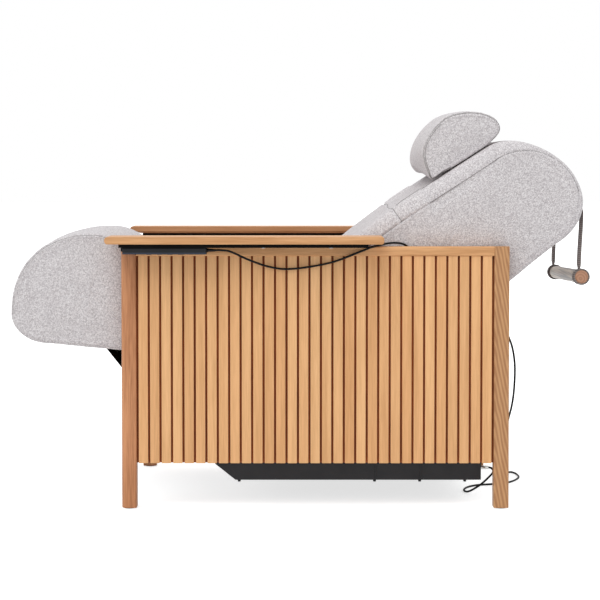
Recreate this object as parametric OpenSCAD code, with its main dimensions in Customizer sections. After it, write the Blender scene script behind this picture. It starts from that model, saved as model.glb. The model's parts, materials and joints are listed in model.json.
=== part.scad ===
// Reclining reflexology chair with slatted oak sides, motor recline and leg rest.
// Front, where the feet lie, is -X. The sitter's left side is -Y. The floor is at zero height.

/* [Side frames] */
// Length over the front and rear post of one side
frame_len = 900; // [860:1:960]
// Distance from the origin forward to the front posts' front faces
frame_front = 416; // [406:1:424]
// Width over the outer faces of the posts
frame_w = 640; // [630:1:680]
// Height of the top rails and posts over the floor
frame_h = 610; // [604:1:620]
// Width of a post seen from the side
post_w = 35; // [30:1:40]
// Depth of a post, which is the thickness of a whole side
side_t = 35; // [32:1:40]
// Large rounding on the outer front edge of a front post
post_round = 13; // [6:0.5:16]
// Small rounding on the other long edges of the wood
edge_round = 3; // [1:0.5:5]
// Height of the panels' lower edge over the floor
panel_bottom = 106; // [80:1:140]
// Height of the rail over the slats
rail_h = 21.5; // [16:0.5:30]
// Number of slats on a side
slat_count = 31; // [21:1:35]
// Width of one slat
slat_w = 21.5; // [15:0.5:23]
// Thickness of one slat
slat_t = 12; // [8:0.5:14]
// How far the slats lie behind the posts' outer faces
slat_inset = 3; // [1:0.5:6]
// Radius of a felt glide
glide_r = 14; // [8:0.5:16]
// Thickness of a felt glide
glide_t = 2; // [1:0.5:4]

/* [Armrests] */
// Length of an armrest
arm_len = 639; // [560:1:660]
// Overhang of an armrest past the front posts
arm_overhang = 32; // [10:1:50]
// Width of an armrest
arm_w = 95; // [80:1:110]
// Thickness of an armrest
arm_t = 17; // [16:0.5:26]
// Radius at the left armrest's front end
arm_end = 7.5; // [4:0.5:7.5]
// Radius at the armrests' rear ends
arm_rear_end = 5; // [3:0.5:7.5]
// Height of the right armrest's nose over its sloping underside
nose_h = 6; // [5:0.5:9]
// Length of the slope under the right armrest's nose
nose_len = 26; // [16:1:30]
// Bevel along the inner edge of an armrest's underside
arm_bevel = 5; // [3:0.5:5]
// Thickness of the steel plate under an armrest
plate_t = 8; // [5:0.5:9]
// Distance from the plate's edge to the armrest's edge
plate_inset = 5; // [5:0.5:10]
// Distance from the plate's rear end to the armrest's rear end
plate_short = 36; // [30:1:60]
// Radius of an armrest screw
screw_r = 3; // [2:0.1:4]
// Radius of an armrest screw's head
screw_head_r = 5.5; // [4.5:0.1:7]
// Thickness of an armrest screw's head
screw_head_t = 3; // [2:0.5:4]
// Depth of an armrest screw in the wood
screw_grip = 12; // [8:0.5:14]

/* [Chassis] */
// Height of the chassis rails' top over the floor
chassis_z = 340; // [335:1:342]
// Height of a chassis rail
chassis_h = 40; // [30:1:45]
// Width of a chassis rail
chassis_w = 30; // [20:1:36]
// Wall of the chassis rails and cross tubes
tube_wall = 2; // [1.5:0.5:4]
// Thickness of a bracket between a chassis rail and a side
bracket_t = 6; // [4:0.5:7]
// Rail length in front of the recline axis
rail_fore = 245; // [235:1:260]
// Rail length behind the recline axis
rail_aft = 415; // [380:1:420]
// Depth of a cross tube along the chair
cross_w = 30; // [20:1:36]
// Height of a cross tube
cross_h = 40; // [30:1:45]
// Distance from the frame's front to the front cross tube
front_tube_at = 222; // [216:1:236]
// Distance from the frame's front to the centre cross tube
centre_tube_at = 556; // [530:1:580]
// Distance from the frame's front to the rear cross tube
rear_tube_at = 808; // [790:1:811]

/* [Base pan] */
// Height of the pan's floor over the ground
pan_bottom = 54; // [40:1:70]
// Depth of the pan, up to the cross tubes on its rim
pan_h = 141; // [120:1:150]
// Gap between a side of the pan and the panel beside it
pan_gap = 45; // [25:1:75]
// Wall of the pan
pan_wall = 2; // [1.5:0.5:4]
// Distance from the frame's front to the pan's front wall
pan_front_at = 214; // [206:1:220]
// Distance from the frame's front to the pan's rear wall
pan_rear_at = 843; // [840:1:860]
// Length of the bevel between the pan's floor and front wall
pan_bevel = 48; // [20:1:60]
// Height of that bevel
pan_bevel_h = 38; // [20:1:50]
// Width of a stiffening rib on the pan's sides
rib_w = 4; // [2:0.5:8]
// Height of a clip under the pan
clip_h = 5; // [3:0.5:8]
// Radius of a clip under the pan
clip_r = 4; // [3:0.5:6]
// Thickness of the dust cloth
cloth_t = 1.2; // [1:0.1:2]

/* [Seat] */
// Thickness of the seat board
seat_board_t = 12; // [9:0.5:15]
// Thickness of the seat cushion
seat_cushion_t = 94; // [80:1:100]
// Distance from the recline axis forward to the seat cushion's rear edge
seat_rear_gap = 77; // [76:0.5:90]
// Length of the seat cushion
seat_len = 170; // [150:1:171]
// Width over the cushions
cushion_w = 544; // [500:1:546]
// How far a cushion's side bulges at its middle
side_bulge = 2.5; // [1:0.5:3]
// Rounding of the cushions' long edges
soft_round = 18; // [10:1:22]
// Crown of a cushion at mid width
crown = 6; // [2:0.5:8]

/* [Backrest] */
// Distance from the origin rearward to the recline axis
recline_at = 25; // [20:1:30]
// Height of the recline axis over the floor
recline_z = 400; // [396:1:404]
// Slope of the backrest's front face in degrees
back_slope = 33; // [30:0.1:34]
// Length along the slope from the recline axis to the middle of the round top
back_len = 594; // [560:1:610]
// Front face's height over the recline axis, square to the slope
back_front = 146; // [135:1:155]
// Rear face's depth under the recline axis, square to the slope
back_rear = 133; // [120:1:140]
// Length of the round top past its middle
back_top = 127; // [120:1:160]
// Radius of the roll at the backrest's lower end
roll_r = 50; // [44:1:54]
// Distance from the round top down to the cross seam
seam_drop = 273; // [240:1:300]
// Width of a side bolster beside the recessed middle
bolster_w = 52; // [40:1:80]
// Depth of the recessed middle
recess = 9; // [4:0.5:14]
// Thickness of the backrest board
back_board_t = 15; // [12:0.5:18]
// Width of the backrest board
back_board_w = 440; // [380:1:460]
// Radius of the recline shaft
shaft_r = 10; // [8:0.5:11]
// Most upright position, in degrees from the pictured one
recline_up = 28; // [20:1:28]
// Flattest position, in degrees from the pictured one
recline_down = 18; // [10:1:18]

/* [Leg rest] */
// Distance from the origin forward to the leg rest's axis
leg_axis_at = 290; // [284:1:292]
// Height of the leg rest's axis over the floor
leg_axis_z = 395; // [392:1:398]
// Reach of the leg rest's foot end in front of its axis
leg_reach = 388; // [360:1:389]
// Height of the knee crest over the axis
knee_h = 243; // [220:1:250]
// Distance from the axis forward to the knee crest
knee_at = 204; // [200:1:230]
// Height of the foot end's furthest point over the axis
foot_mid_h = 56; // [50:1:90]
// Height of the underside's front end over the axis
foot_low_h = -13; // [-16:1:-4]
// Distance from the axis forward to the underside's front end
foot_low_at = 302; // [300:1:330]
// Drop of the underside's rear end under the axis
heel_drop = 38; // [34:1:44]
// Distance from the axis forward to the underside's rear end
heel_at = 40; // [36:1:50]
// Reach of the tail behind the axis
tail_reach = 62; // [50:1:64]
// Height of the tail's top over the axis
tail_top = 52; // [44:1:58]
// Height of the tail's underside over the axis
tail_low = 18; // [17:0.5:22]
// Radius of the leg rest's shaft
leg_shaft_r = 8; // [6:0.5:9]
// Thickness of the leg rest board
leg_board_t = 12; // [9:0.5:15]
// Width of the leg rest board
leg_board_w = 480; // [420:1:500]
// Thickness of the leg rest's arms
leg_arm_t = 8; // [6:0.5:9]
// Width of a steel arm on the leg rest or the backrest
arm_bar_w = 40; // [30:1:50]
// Distance of the steel arms from the centre plane
arm_bar_at = 170; // [150:1:190]
// Lowest position, in degrees from the pictured one
leg_down = 74; // [60:1:74]

/* [Actuators] */
// Distance of each actuator from the centre plane
actuator_at = 60; // [56:1:70]
// Radius of an actuator's outer tube
actuator_r = 18; // [15:0.5:20]
// Radius of an actuator's rod
rod_r = 9; // [7:0.5:11]
// Radius of an actuator's motor
motor_r = 24; // [20:0.5:25]
// Length of an actuator's motor
motor_len = 100; // [80:1:110]
// Width of an actuator's gearbox along the chair
gearbox_w = 60; // [50:1:70]
// Lever from the leg rest's axis to its lug's pin
leg_lever = 92; // [86:1:94]
// Lever from the recline axis to its lug's pin
back_lever = 110; // [104:1:112]
// Thickness of a lug
lug_t = 8; // [6:0.5:10]
// Radius of a lug's round end
lug_r = 14; // [12:0.5:15]
// Radius of a clevis pin
pin_r = 5; // [4:0.5:6]
// Thickness of a fork's ear
ear_t = 6; // [5:0.5:8]

/* [Pillow and counterweight] */
// Width of the pillow
pillow_w = 490; // [440:1:510]
// Height of the pillow over its widest line
pillow_h = 72; // [70:1:95]
// Depth of the pillow under its widest line
pillow_base = 35; // [16:1:40]
// Length of the pillow's lower half along the slope
pillow_fore = 105; // [100:1:120]
// Length of the pillow's upper half along the slope
pillow_aft = 98; // [80:1:105]
// Distance from the round top's middle down to the pillow's highest line
pillow_drop = 53; // [30:1:60]
// Pillow travel up from the pictured place
pillow_up = 20; // [10:1:25]
// Pillow travel down from the pictured place
pillow_down = 90; // [60:1:110]
// Width of the webbing
strap_w = 26; // [20:1:34]
// Thickness of the webbing
strap_t = 2; // [1.5:0.1:3]
// Distance of each strap's middle from the centre plane
strap_at = 226; // [222:1:236]
// Length of a sewn keeper along the strap
keeper_len = 36; // [24:1:44]
// Radius of the counterweight bar
bar_r = 16; // [12:0.5:18]
// How far the bar reaches beyond each webbing loop
bar_over = 1; // [0:0.5:20]
// Radius of the steel core in the bar
core_r = 6; // [4:0.5:8]
// Thickness of an end cap on the bar
cap_t = 8; // [6:0.5:12]
// Height of the bar's middle over the floor
bar_z = 527; // [510:1:540]
// Tilt of the bar in degrees, its right end lower
bar_tilt = 2; // [0:0.1:3]

/* [Controller] */
// Length of the controller
ctrl_len = 193; // [170:1:195]
// Width of the controller
ctrl_w = 42; // [38:1:48]
// Thickness of the controller
ctrl_t = 13; // [12:0.5:16]
// Wall of the controller's case
ctrl_wall = 2; // [1.5:0.5:2.5]
// Distance from the front posts' front faces to the controller's front end
ctrl_at = 8; // [6:1:20]
// Distance from the posts' outer faces out to the controller
ctrl_out = 13; // [12:0.5:14]
// Thickness of the cradle's base
cradle_t = 2; // [1.5:0.5:3]
// Radius of a button
button_r = 6; // [5:0.5:7]
// How far a button stands proud
button_proud = 1.5; // [1:0.1:2.5]
// Travel of a button
button_travel = 1; // [0.5:0.1:1]
// Radius of the controller's cord
cord_r = 2.5; // [2.5:0.1:2.5]
// Length of the boot on the controller's cord
boot_len = 20; // [16:1:24]
// Radius of the round connector
plug_r = 4.5; // [4:0.1:6]
// Length of the round connector outside the pan
plug_len = 26; // [22:1:30]

/* [Hidden] */

// Finishes
oak = "#c9986d";
oak_dark = "#be8c62";
groove_brown = "#68361a";
melange = "#c8c4c5";
taupe = "#8a7d78";
black_paint = "#323134";
steel = "#9a9da0";
plastic_black = "#1a1a1d";

// Small values shared by the pieces
over = 1;              // how far a cut runs past a face
seat_fit = 0.3;        // gap of a soft piece to what it lies on
run_fit = 0.05;        // radial gap of a shaft in its bush
smooth = 48;           // sides on a round piece
arc_steps = 6;         // steps in a quarter of a soft outline

// Places along the chair
front_x = -frame_front;
rear_x = front_x + frame_len;
half_w = frame_w / 2;
inner_y = half_w - side_t;
rail_low = frame_h - rail_h;
span_front = front_x + post_w;
span_rear = rear_x - post_w;
span = span_rear - span_front;
slat_gap = (span - slat_count * slat_w) / (slat_count + 1);
board_t = side_t - slat_inset - slat_t;
arm_x = front_x - arm_overhang;
arm_z = frame_h + plate_t;
arm_rear = arm_x + arm_len;
plate_rear = arm_rear - plate_short;
axis_x = recline_at;
leg_x = -leg_axis_at;
rail_front = axis_x - rail_fore;
rail_rear = axis_x + rail_aft;
rail_out_y = inner_y - bracket_t;
rail_in_y = rail_out_y - chassis_w;
pan_rim = pan_bottom + pan_h;
pan_w = (inner_y - pan_gap) * 2;
pan_front = front_x + pan_front_at;
pan_rear = front_x + pan_rear_at;
tube_z = pan_rim;
tube_places = [front_x + front_tube_at, front_x + centre_tube_at, front_x + rear_tube_at];
soft_half = cushion_w / 2;

// Plane helpers: a flat outline in X and Z is extruded along Y
module across(y0, y1) {
    translate([0, y1, 0])
        rotate([90, 0, 0])
            linear_extrude(y1 - y0)
                children();
}
module both_sides() {
    children();
    mirror([0, 1, 0]) children();
}
function turn(p, a) = [p[0] * cos(a) - p[1] * sin(a), p[0] * sin(a) + p[1] * cos(a)];
function arc(c, r, a0, a1, n) =
    [for (i = [0:n]) c + r * [cos(a0 + (a1 - a0) * i / n), sin(a0 + (a1 - a0) * i / n)]];
function bend(p0, p1, p2, p3, n) = [for (i = [1:n]) let (t = i / n, s = 1 - t)
    s * s * s * p0 + 3 * s * s * t * p1 + 3 * s * t * t * p2 + t * t * t * p3];
// Quarter of a rounded-square curve: full at power 2, squarer above it
function signed_root(v, power) = sign(v) * pow(abs(v), 2 / power);
function quarter(c, a, b, power, a0, n = arc_steps) = [for (i = [0:n]) let (t = a0 + 90 * i / n)
    c + [a * signed_root(cos(t), power), b * signed_root(sin(t), power)]];
function rounded(w, d, radii) = concat(
    arc([radii[0], radii[0]], radii[0], 180, 270, arc_steps),
    arc([w - radii[1], radii[1]], radii[1], 270, 360, arc_steps),
    arc([w - radii[2], d - radii[2]], radii[2], 0, 90, arc_steps),
    arc([radii[3], d - radii[3]], radii[3], 90, 180, arc_steps));

// Soft forms: an outline swept across the chair, inset at its long edges and crowned
function outward(pts, i) = let (n = len(pts), t = pts[(i + 1) % n] - pts[(i + n - 1) % n])
    [t[1], -t[0]] / norm(t);
function swell(pts, by) = [for (i = [0:len(pts) - 1]) pts[i] + outward(pts, i) * by[i]];
edge_turns = [0, 30, 60];
function edge_stations(half, r) = [for (a = edge_turns) [half - r + r * cos(a), r * (1 - sin(a))]];
function stations(half, r, inner) = concat(
    [for (s = edge_stations(half, r)) [-s[0], s[1]]],
    [for (y = inner) [y, 0]],
    [for (i = [len(edge_turns) - 1:-1:0]) edge_stations(half, r)[i]]);
module soft_form(rings, ys, middle, bulge) {
    n = len(rings[0]);
    m = len(rings);
    last = n * m;
    points = concat(
        [for (j = [0:m - 1]) for (p = rings[j]) [p[0], ys[j], p[1]]],
        [[middle[0], ys[0] - bulge, middle[1]], [middle[0], ys[m - 1] + bulge, middle[1]]]);
    faces = concat(
        [for (j = [0:m - 2]) for (i = [0:n - 1]) let (k = (i + 1) % n)
            [j * n + i, j * n + k, (j + 1) * n + k]],
        [for (j = [0:m - 2]) for (i = [0:n - 1]) let (k = (i + 1) % n)
            [j * n + i, (j + 1) * n + k, (j + 1) * n + i]],
        [for (i = [0:n - 1]) [last, (i + 1) % n, i]],
        [for (i = [0:n - 1]) [last + 1, (m - 1) * n + i, (m - 1) * n + (i + 1) % n]]);
    polyhedron(points, faces, convexity = 6);
}
function crown_at(y, half) = crown * (1 - pow(y / half, 2));

// Wood of one side
module post_body(x, radii) {
    translate([x, -half_w, glide_t])
        linear_extrude(frame_h - glide_t)
            polygon(rounded(post_w, side_t, radii));
}
module front_post() {
    color(oak_dark) post_body(front_x, [post_round, edge_round, edge_round, edge_round]);
}
module rear_post() {
    color(oak_dark) post_body(span_rear, [edge_round, edge_round, edge_round, edge_round]);
}
module left_front_post() { front_post(); }
module left_rear_post() { rear_post(); }
module right_front_post() { mirror([0, 1, 0]) front_post(); }
module right_rear_post() { mirror([0, 1, 0]) rear_post(); }
module top_rail() {
    color(oak)
        translate([span_front, -half_w, rail_low])
            rotate([90, 0, 90])
                linear_extrude(span)
                    polygon(rounded(side_t, rail_h, [edge_round, edge_round, edge_round, edge_round]));
}
module left_top_rail() { top_rail(); }
module right_top_rail() { mirror([0, 1, 0]) top_rail(); }
module panel_board() {
    color(groove_brown)
        translate([span_front, -inner_y - board_t, panel_bottom])
            cube([span, board_t, rail_low - panel_bottom]);
}
module left_panel_board() { panel_board(); }
module right_panel_board() { mirror([0, 1, 0]) panel_board(); }
module slats() {
    color(oak)
        for (i = [0:slat_count - 1])
            translate([span_front + slat_gap + i * (slat_w + slat_gap), -half_w + slat_inset, panel_bottom])
                cube([slat_w, slat_t, rail_low - panel_bottom]);
}
module left_slats() { slats(); }
module right_slats() { mirror([0, 1, 0]) slats(); }

// Armrests, each on a steel plate that is screwed up into the wood
arm_in_y = inner_y;
arm_out_y = inner_y + arm_w;
screw_shares = [0.28, 0.6, 0.86];
screw_xs = [for (s = screw_shares) arm_x + s * (plate_rear - arm_x)];
screw_y = half_w + screw_head_r + 1;
module screw_holes(r, z0, z1) {
    for (x = screw_xs)
        translate([x, -screw_y, z0])
            cylinder(h = z1 - z0, r = r, $fn = smooth);
}
nose_round = nose_h * 0.6;
blunt_front = concat(
    arc([arm_x + arm_end, arm_z + arm_t - arm_end], arm_end, 90, 180, arc_steps),
    arc([arm_x + arm_end, arm_z + arm_end], arm_end, 180, 270, arc_steps));
nosed_front = concat(
    arc([arm_x + nose_round, arm_z + arm_t - nose_round], nose_round, 90, 180, arc_steps),
    [[arm_x, arm_z + arm_t - nose_h], [arm_x + nose_len, arm_z]]);
module armrest(front) {
    color(oak)
        difference() {
            across(-arm_out_y, -arm_in_y)
                polygon(concat(front,
                    arc([arm_rear - arm_rear_end, arm_z + arm_rear_end], arm_rear_end, 270, 360, arc_steps),
                    arc([arm_rear - arm_rear_end, arm_z + arm_t - arm_rear_end], arm_rear_end, 0, 90,
                        arc_steps)));
            translate([arm_x - over, -arm_in_y, arm_z])
                rotate([90, 0, 90])
                    linear_extrude(arm_len + over * 2)
                        polygon([[-arm_bevel - over, -over], [over, -over], [over, arm_bevel + over]]);
            screw_holes(screw_r + run_fit, arm_z - over, arm_z + screw_grip + run_fit);
        }
}
module left_armrest() { armrest(blunt_front); }
module right_armrest() { mirror([0, 1, 0]) armrest(nosed_front); }
module armrest_plates() {
    color(plastic_black)
        both_sides()
            difference() {
                translate([front_x, -arm_out_y + plate_inset, frame_h])
                    cube([plate_rear - front_x, arm_w - plate_inset * 2, plate_t]);
                screw_holes(screw_r + run_fit, frame_h - over, arm_z + over);
            }
}
module armrest_screws() {
    color(steel)
        both_sides()
            for (x = screw_xs)
                translate([x, -screw_y, frame_h]) {
                    cylinder(h = plate_t + screw_grip, r = screw_r, $fn = smooth);
                    translate([0, 0, -screw_head_t])
                        cylinder(h = screw_head_t, r = screw_head_r, $fn = smooth);
                }
}
module floor_glides() {
    color("dimgray")
        both_sides()
            for (x = [front_x + post_w / 2, rear_x - post_w / 2])
                translate([x, -half_w + side_t / 2, 0])
                    cylinder(h = glide_t, r = glide_r, $fn = smooth);
}

// Steel chassis between the sides
module chassis_rails() {
    color(black_paint)
        both_sides()
            translate([rail_front, -rail_out_y, chassis_z - chassis_h])
                difference() {
                    cube([rail_rear - rail_front, chassis_w, chassis_h]);
                    translate([-over, tube_wall, tube_wall])
                        cube([rail_rear - rail_front + over * 2, chassis_w - tube_wall * 2,
                            chassis_h - tube_wall * 2]);
                }
}
module cross_tubes() {
    color(black_paint)
        for (x = tube_places)
            translate([x, -inner_y, tube_z])
                difference() {
                    cube([cross_w, inner_y * 2, cross_h]);
                    translate([tube_wall, -over, tube_wall])
                        cube([cross_w - tube_wall * 2, inner_y * 2 + over * 2, cross_h - tube_wall * 2]);
                }
}
// Each bracket lies flat between a chassis rail and the panel board
bush_wall = 3;
eye_wall = 7;
boss_r = shaft_r + bush_wall + eye_wall;
leg_boss_r = leg_shaft_r + bush_wall + eye_wall;
bracket_foot = 80;
module bracket_plate(axis, boss, hole, foot_x0, foot_x1) {
    difference() {
        across(-inner_y, -rail_out_y)
            union() {
                polygon([[foot_x0, chassis_z - chassis_h], [foot_x1, chassis_z - chassis_h],
                    [foot_x1, chassis_z - tube_wall], [axis[0] + boss, axis[1]], [axis[0] - boss, axis[1]]]);
                translate(axis) circle(r = boss, $fn = smooth);
            }
        across(-inner_y - over, -rail_out_y + over)
            translate(axis) circle(r = hole, $fn = smooth);
    }
}
module chassis_brackets() {
    color(black_paint)
        both_sides() {
            bracket_plate([leg_x, leg_axis_z], leg_boss_r, leg_shaft_r + bush_wall,
                rail_front, rail_front + bracket_foot);
            bracket_plate([axis_x, recline_z], boss_r, shaft_r + bush_wall,
                axis_x - bracket_foot / 2, axis_x + bracket_foot / 2);
            translate([rail_rear - bracket_foot, -inner_y, chassis_z - chassis_h])
                cube([bracket_foot, bracket_t, chassis_h]);
        }
}
module bush(axis, r) {
    across(-inner_y, -rail_out_y)
        translate(axis)
            difference() {
                circle(r = r + bush_wall, $fn = smooth);
                circle(r = r + run_fit, $fn = smooth);
            }
}
module pivot_bushes() {
    color("ivory")
        both_sides() {
            bush([leg_x, leg_axis_z], leg_shaft_r);
            bush([axis_x, recline_z], shaft_r);
        }
}

// Sheet steel pan under the chassis, with the electrics in it
pan_outline = [[pan_front + pan_bevel, pan_bottom], [pan_rear, pan_bottom], [pan_rear, pan_rim],
    [pan_front, pan_rim], [pan_front, pan_bottom + pan_bevel_h]];
pan_bore = [[pan_front + pan_bevel + pan_wall / 2, pan_bottom + pan_wall],
    [pan_rear - pan_wall, pan_bottom + pan_wall], [pan_rear - pan_wall, pan_rim + over],
    [pan_front + pan_wall, pan_rim + over], [pan_front + pan_wall, pan_bottom + pan_bevel_h + pan_wall / 2]];
rib_shares = [0.6, 0.77];
rib_xs = [for (s = rib_shares) pan_front + s * (pan_rear - pan_front)];
clip_shares = [0.09, 0.6, 0.77, 0.94];
plug_y = -150;
plug_z = pan_bottom + 15;
socket_r = plug_r + 4.5;
inlet_w = 48;
inlet_h = 28;
inlet_y = 60;
inlet_z = pan_bottom + 46;
module base_pan() {
    color(black_paint)
        difference() {
            union() {
                across(-pan_w / 2, pan_w / 2) polygon(pan_outline);
                for (x = rib_xs)
                    translate([x, -pan_w / 2 - pan_wall, pan_bottom + pan_wall])
                        cube([rib_w, pan_w + pan_wall * 2, pan_h - pan_wall * 2]);
            }
            across(-pan_w / 2 + pan_wall, pan_w / 2 - pan_wall) polygon(pan_bore);
            translate([pan_rear - pan_wall - over, plug_y, plug_z])
                rotate([0, 90, 0])
                    cylinder(h = pan_wall + over * 2, r = socket_r, $fn = smooth);
            translate([pan_rear - pan_wall - over, inlet_y - inlet_w / 2, inlet_z - inlet_h / 2])
                cube([pan_wall + over * 2, inlet_w, inlet_h]);
        }
}
module pan_clips() {
    color(plastic_black)
        both_sides()
            for (s = clip_shares)
                translate([pan_front + s * (pan_rear - pan_front), -pan_w / 2 + clip_r * 2, pan_bottom - clip_h])
                    cylinder(h = clip_h, r1 = clip_r * 0.8, r2 = clip_r, $fn = smooth);
}
// Black cloth that closes the slope between the pan and the leg rest's underside
cloth_half = pan_w / 2 - pan_wall;
cloth_top_at = 170;
cloth_low = [pan_front - seat_fit / 3, pan_bottom + pan_bevel_h];
function heel_line(at) = let (s = (at - heel_at) / (foot_low_at - heel_at))
    leg_axis_z - heel_drop + s * (foot_low_h + heel_drop);
cloth_top = [leg_x - cloth_top_at, heel_line(cloth_top_at) - seat_fit - cloth_t];
cloth_sag = 6;
cloth_mid = (cloth_low + cloth_top) / 2 + turn([cloth_sag, 0], -45);
module dust_cloth() {
    color(plastic_black)
        across(-cloth_half, cloth_half)
            polygon([cloth_low, cloth_mid, cloth_top, cloth_top + [-cloth_t * 4, 0],
                cloth_mid + turn([cloth_t, 0], 225), cloth_low + [-cloth_t, cloth_t / 2]]);
}
box_len = 150;
box_w = 100;
box_h = 42;
box_gap = 24;
box_x = pan_rear - pan_wall - box_gap - box_len;
box_y = plug_y + 20;
module control_box() {
    color(plastic_black)
        translate([box_x, box_y, pan_bottom + pan_wall])
            linear_extrude(box_h)
                polygon(rounded(box_len, box_w, [edge_round, edge_round, edge_round, edge_round]));
}
flange_t = 2;
socket_depth = 16;
plug_fit = 0.2;
module controller_socket() {
    color(steel)
        translate([pan_rear, plug_y, plug_z])
            rotate([0, 90, 0])
                difference() {
                    union() {
                        translate([0, 0, -socket_depth]) cylinder(h = socket_depth, r = socket_r, $fn = smooth);
                        cylinder(h = flange_t, r = socket_r + flange_t, $fn = smooth);
                    }
                    translate([0, 0, -socket_depth + flange_t])
                        cylinder(h = socket_depth + over, r = plug_r + plug_fit, $fn = smooth);
                }
}
blade_w = 2;
blade_h = 10;
module mains_inlet() {
    color(plastic_black)
        translate([pan_rear, inlet_y, inlet_z]) {
            difference() {
                union() {
                    translate([-socket_depth - flange_t, -inlet_w / 2, -inlet_h / 2])
                        cube([socket_depth + flange_t, inlet_w, inlet_h]);
                    translate([0, -inlet_w / 2 - flange_t, -inlet_h / 2 - flange_t])
                        cube([flange_t, inlet_w + flange_t * 2, inlet_h + flange_t * 2]);
                }
                translate([-socket_depth, -inlet_w / 2 + flange_t * 4, -inlet_h / 2 + flange_t * 2])
                    cube([socket_depth + flange_t + over, inlet_w - flange_t * 8, inlet_h - flange_t * 4]);
            }
            for (y = [-inlet_w / 6, inlet_w / 6])
                translate([-socket_depth - blade_w, y - blade_w / 2, -blade_h / 2])
                    cube([socket_depth, blade_w, blade_h]);
        }
}

// Seat between the leg rest's tail and the backrest's roll
seat_rear = axis_x - seat_rear_gap;
seat_front = seat_rear - seat_len;
seat_low = chassis_z + seat_board_t;
seat_top = seat_low + seat_cushion_t;
module seat_board() {
    color(oak)
        translate([seat_front, -rail_out_y, chassis_z])
            cube([seat_len - soft_round / 2, rail_out_y * 2, seat_board_t]);
}
seat_curve = 20;
seat_pts = concat(
    [[seat_front, seat_low + seat_fit], [seat_rear, seat_low + seat_fit]],
    arc([seat_rear - seat_curve, seat_top - seat_curve], seat_curve, 0, 90, 5),
    arc([seat_front + seat_curve / 2, seat_top - seat_curve / 2], seat_curve / 2, 90, 180, 4));
seat_shares = [0, 0, 0.4, 0.6, 0.8, 1, 1, 1, 1, 1, 0.6, 0.3, 0];
mid_shares = [-0.9, -0.6, -0.3, 0, 0.3, 0.6, 0.9];
mid_ys = [for (s = mid_shares) s * (soft_half - soft_round)];
seat_stations = stations(soft_half, soft_round, mid_ys);
module seat_cushion() {
    color(melange)
        soft_form([for (s = seat_stations) swell(seat_pts,
                [for (w = seat_shares) w * (crown_at(s[0], soft_half) - s[1])])],
            [for (s = seat_stations) s[0]],
            [(seat_front + seat_rear) / 2, (seat_low + seat_top) / 2], side_bulge);
}

// Backrest: u runs up the slope from the recline axis, v square to it towards the sitter
function back_at(u, v) = [axis_x, recline_z] + turn([u, v], back_slope);
top_low = 13;          // how far the furthest point of the top lies under the axis line
back_rear_round = 121;
back_top_c = back_at(back_len, -top_low);
heel_u = 461;          // where the hidden underside starts to rise to the roll
heel_v = 147;
roll_turn = 290;       // where the underside leaves the roll
roll_end = [axis_x, recline_z] + roll_r * [cos(roll_turn), sin(roll_turn)];
under_end = back_at(heel_u, -heel_v);
face_low_u = 352;      // where the face starts to curve to the roll
face_low = back_at(face_low_u, back_front);
roll_front = [axis_x - roll_r, recline_z];
rear_power = 2.4;
front_power = 1.68;
function sloped(c, pts) = [for (p = pts) c + turn(p, back_slope)];
back_under = bend(roll_end, roll_end + turn([roll_r * 3, 0], roll_turn - 270),
    under_end - turn([roll_r * 2.4, 0], back_slope + 6), under_end, 6);
back_rear_arc = sloped(back_top_c,
    quarter([0, 0], back_top, back_rear - top_low, rear_power, 270, 7));
back_front_arc = sloped(back_top_c,
    quarter([0, 0], back_top, back_front + top_low, front_power, 0, 9));
seam_u = back_len - seam_drop;
face_shares = [0.22, 0.48, 0.74, 0.97];
back_face = [for (s = face_shares) back_at(back_len - s * seam_drop, back_front)];
back_lumbar = bend(face_low, face_low + turn([roll_r * 3.4, 0], back_slope + 181.2),
    roll_front + [0, roll_r * 2.2], roll_front, 7);
back_roll = [for (a = [200:18:272]) [axis_x, recline_z] + roll_r * [cos(a), sin(a)]];
back_pts = concat([roll_end], back_under,
    [for (i = [0:6]) back_rear_arc[i]], [for (i = [0:8]) back_front_arc[i]], [back_front_arc[9]],
    back_face, [face_low], back_lumbar, back_roll);
function along(p) = turn(p - [axis_x, recline_z], -back_slope);
function ramp(v, lo, hi) = let (t = min(1, max(0, (v - lo) / (hi - lo)))) t * t * (3 - 2 * t);
recess_edge = 8;       // width over which the recess falls off
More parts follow.
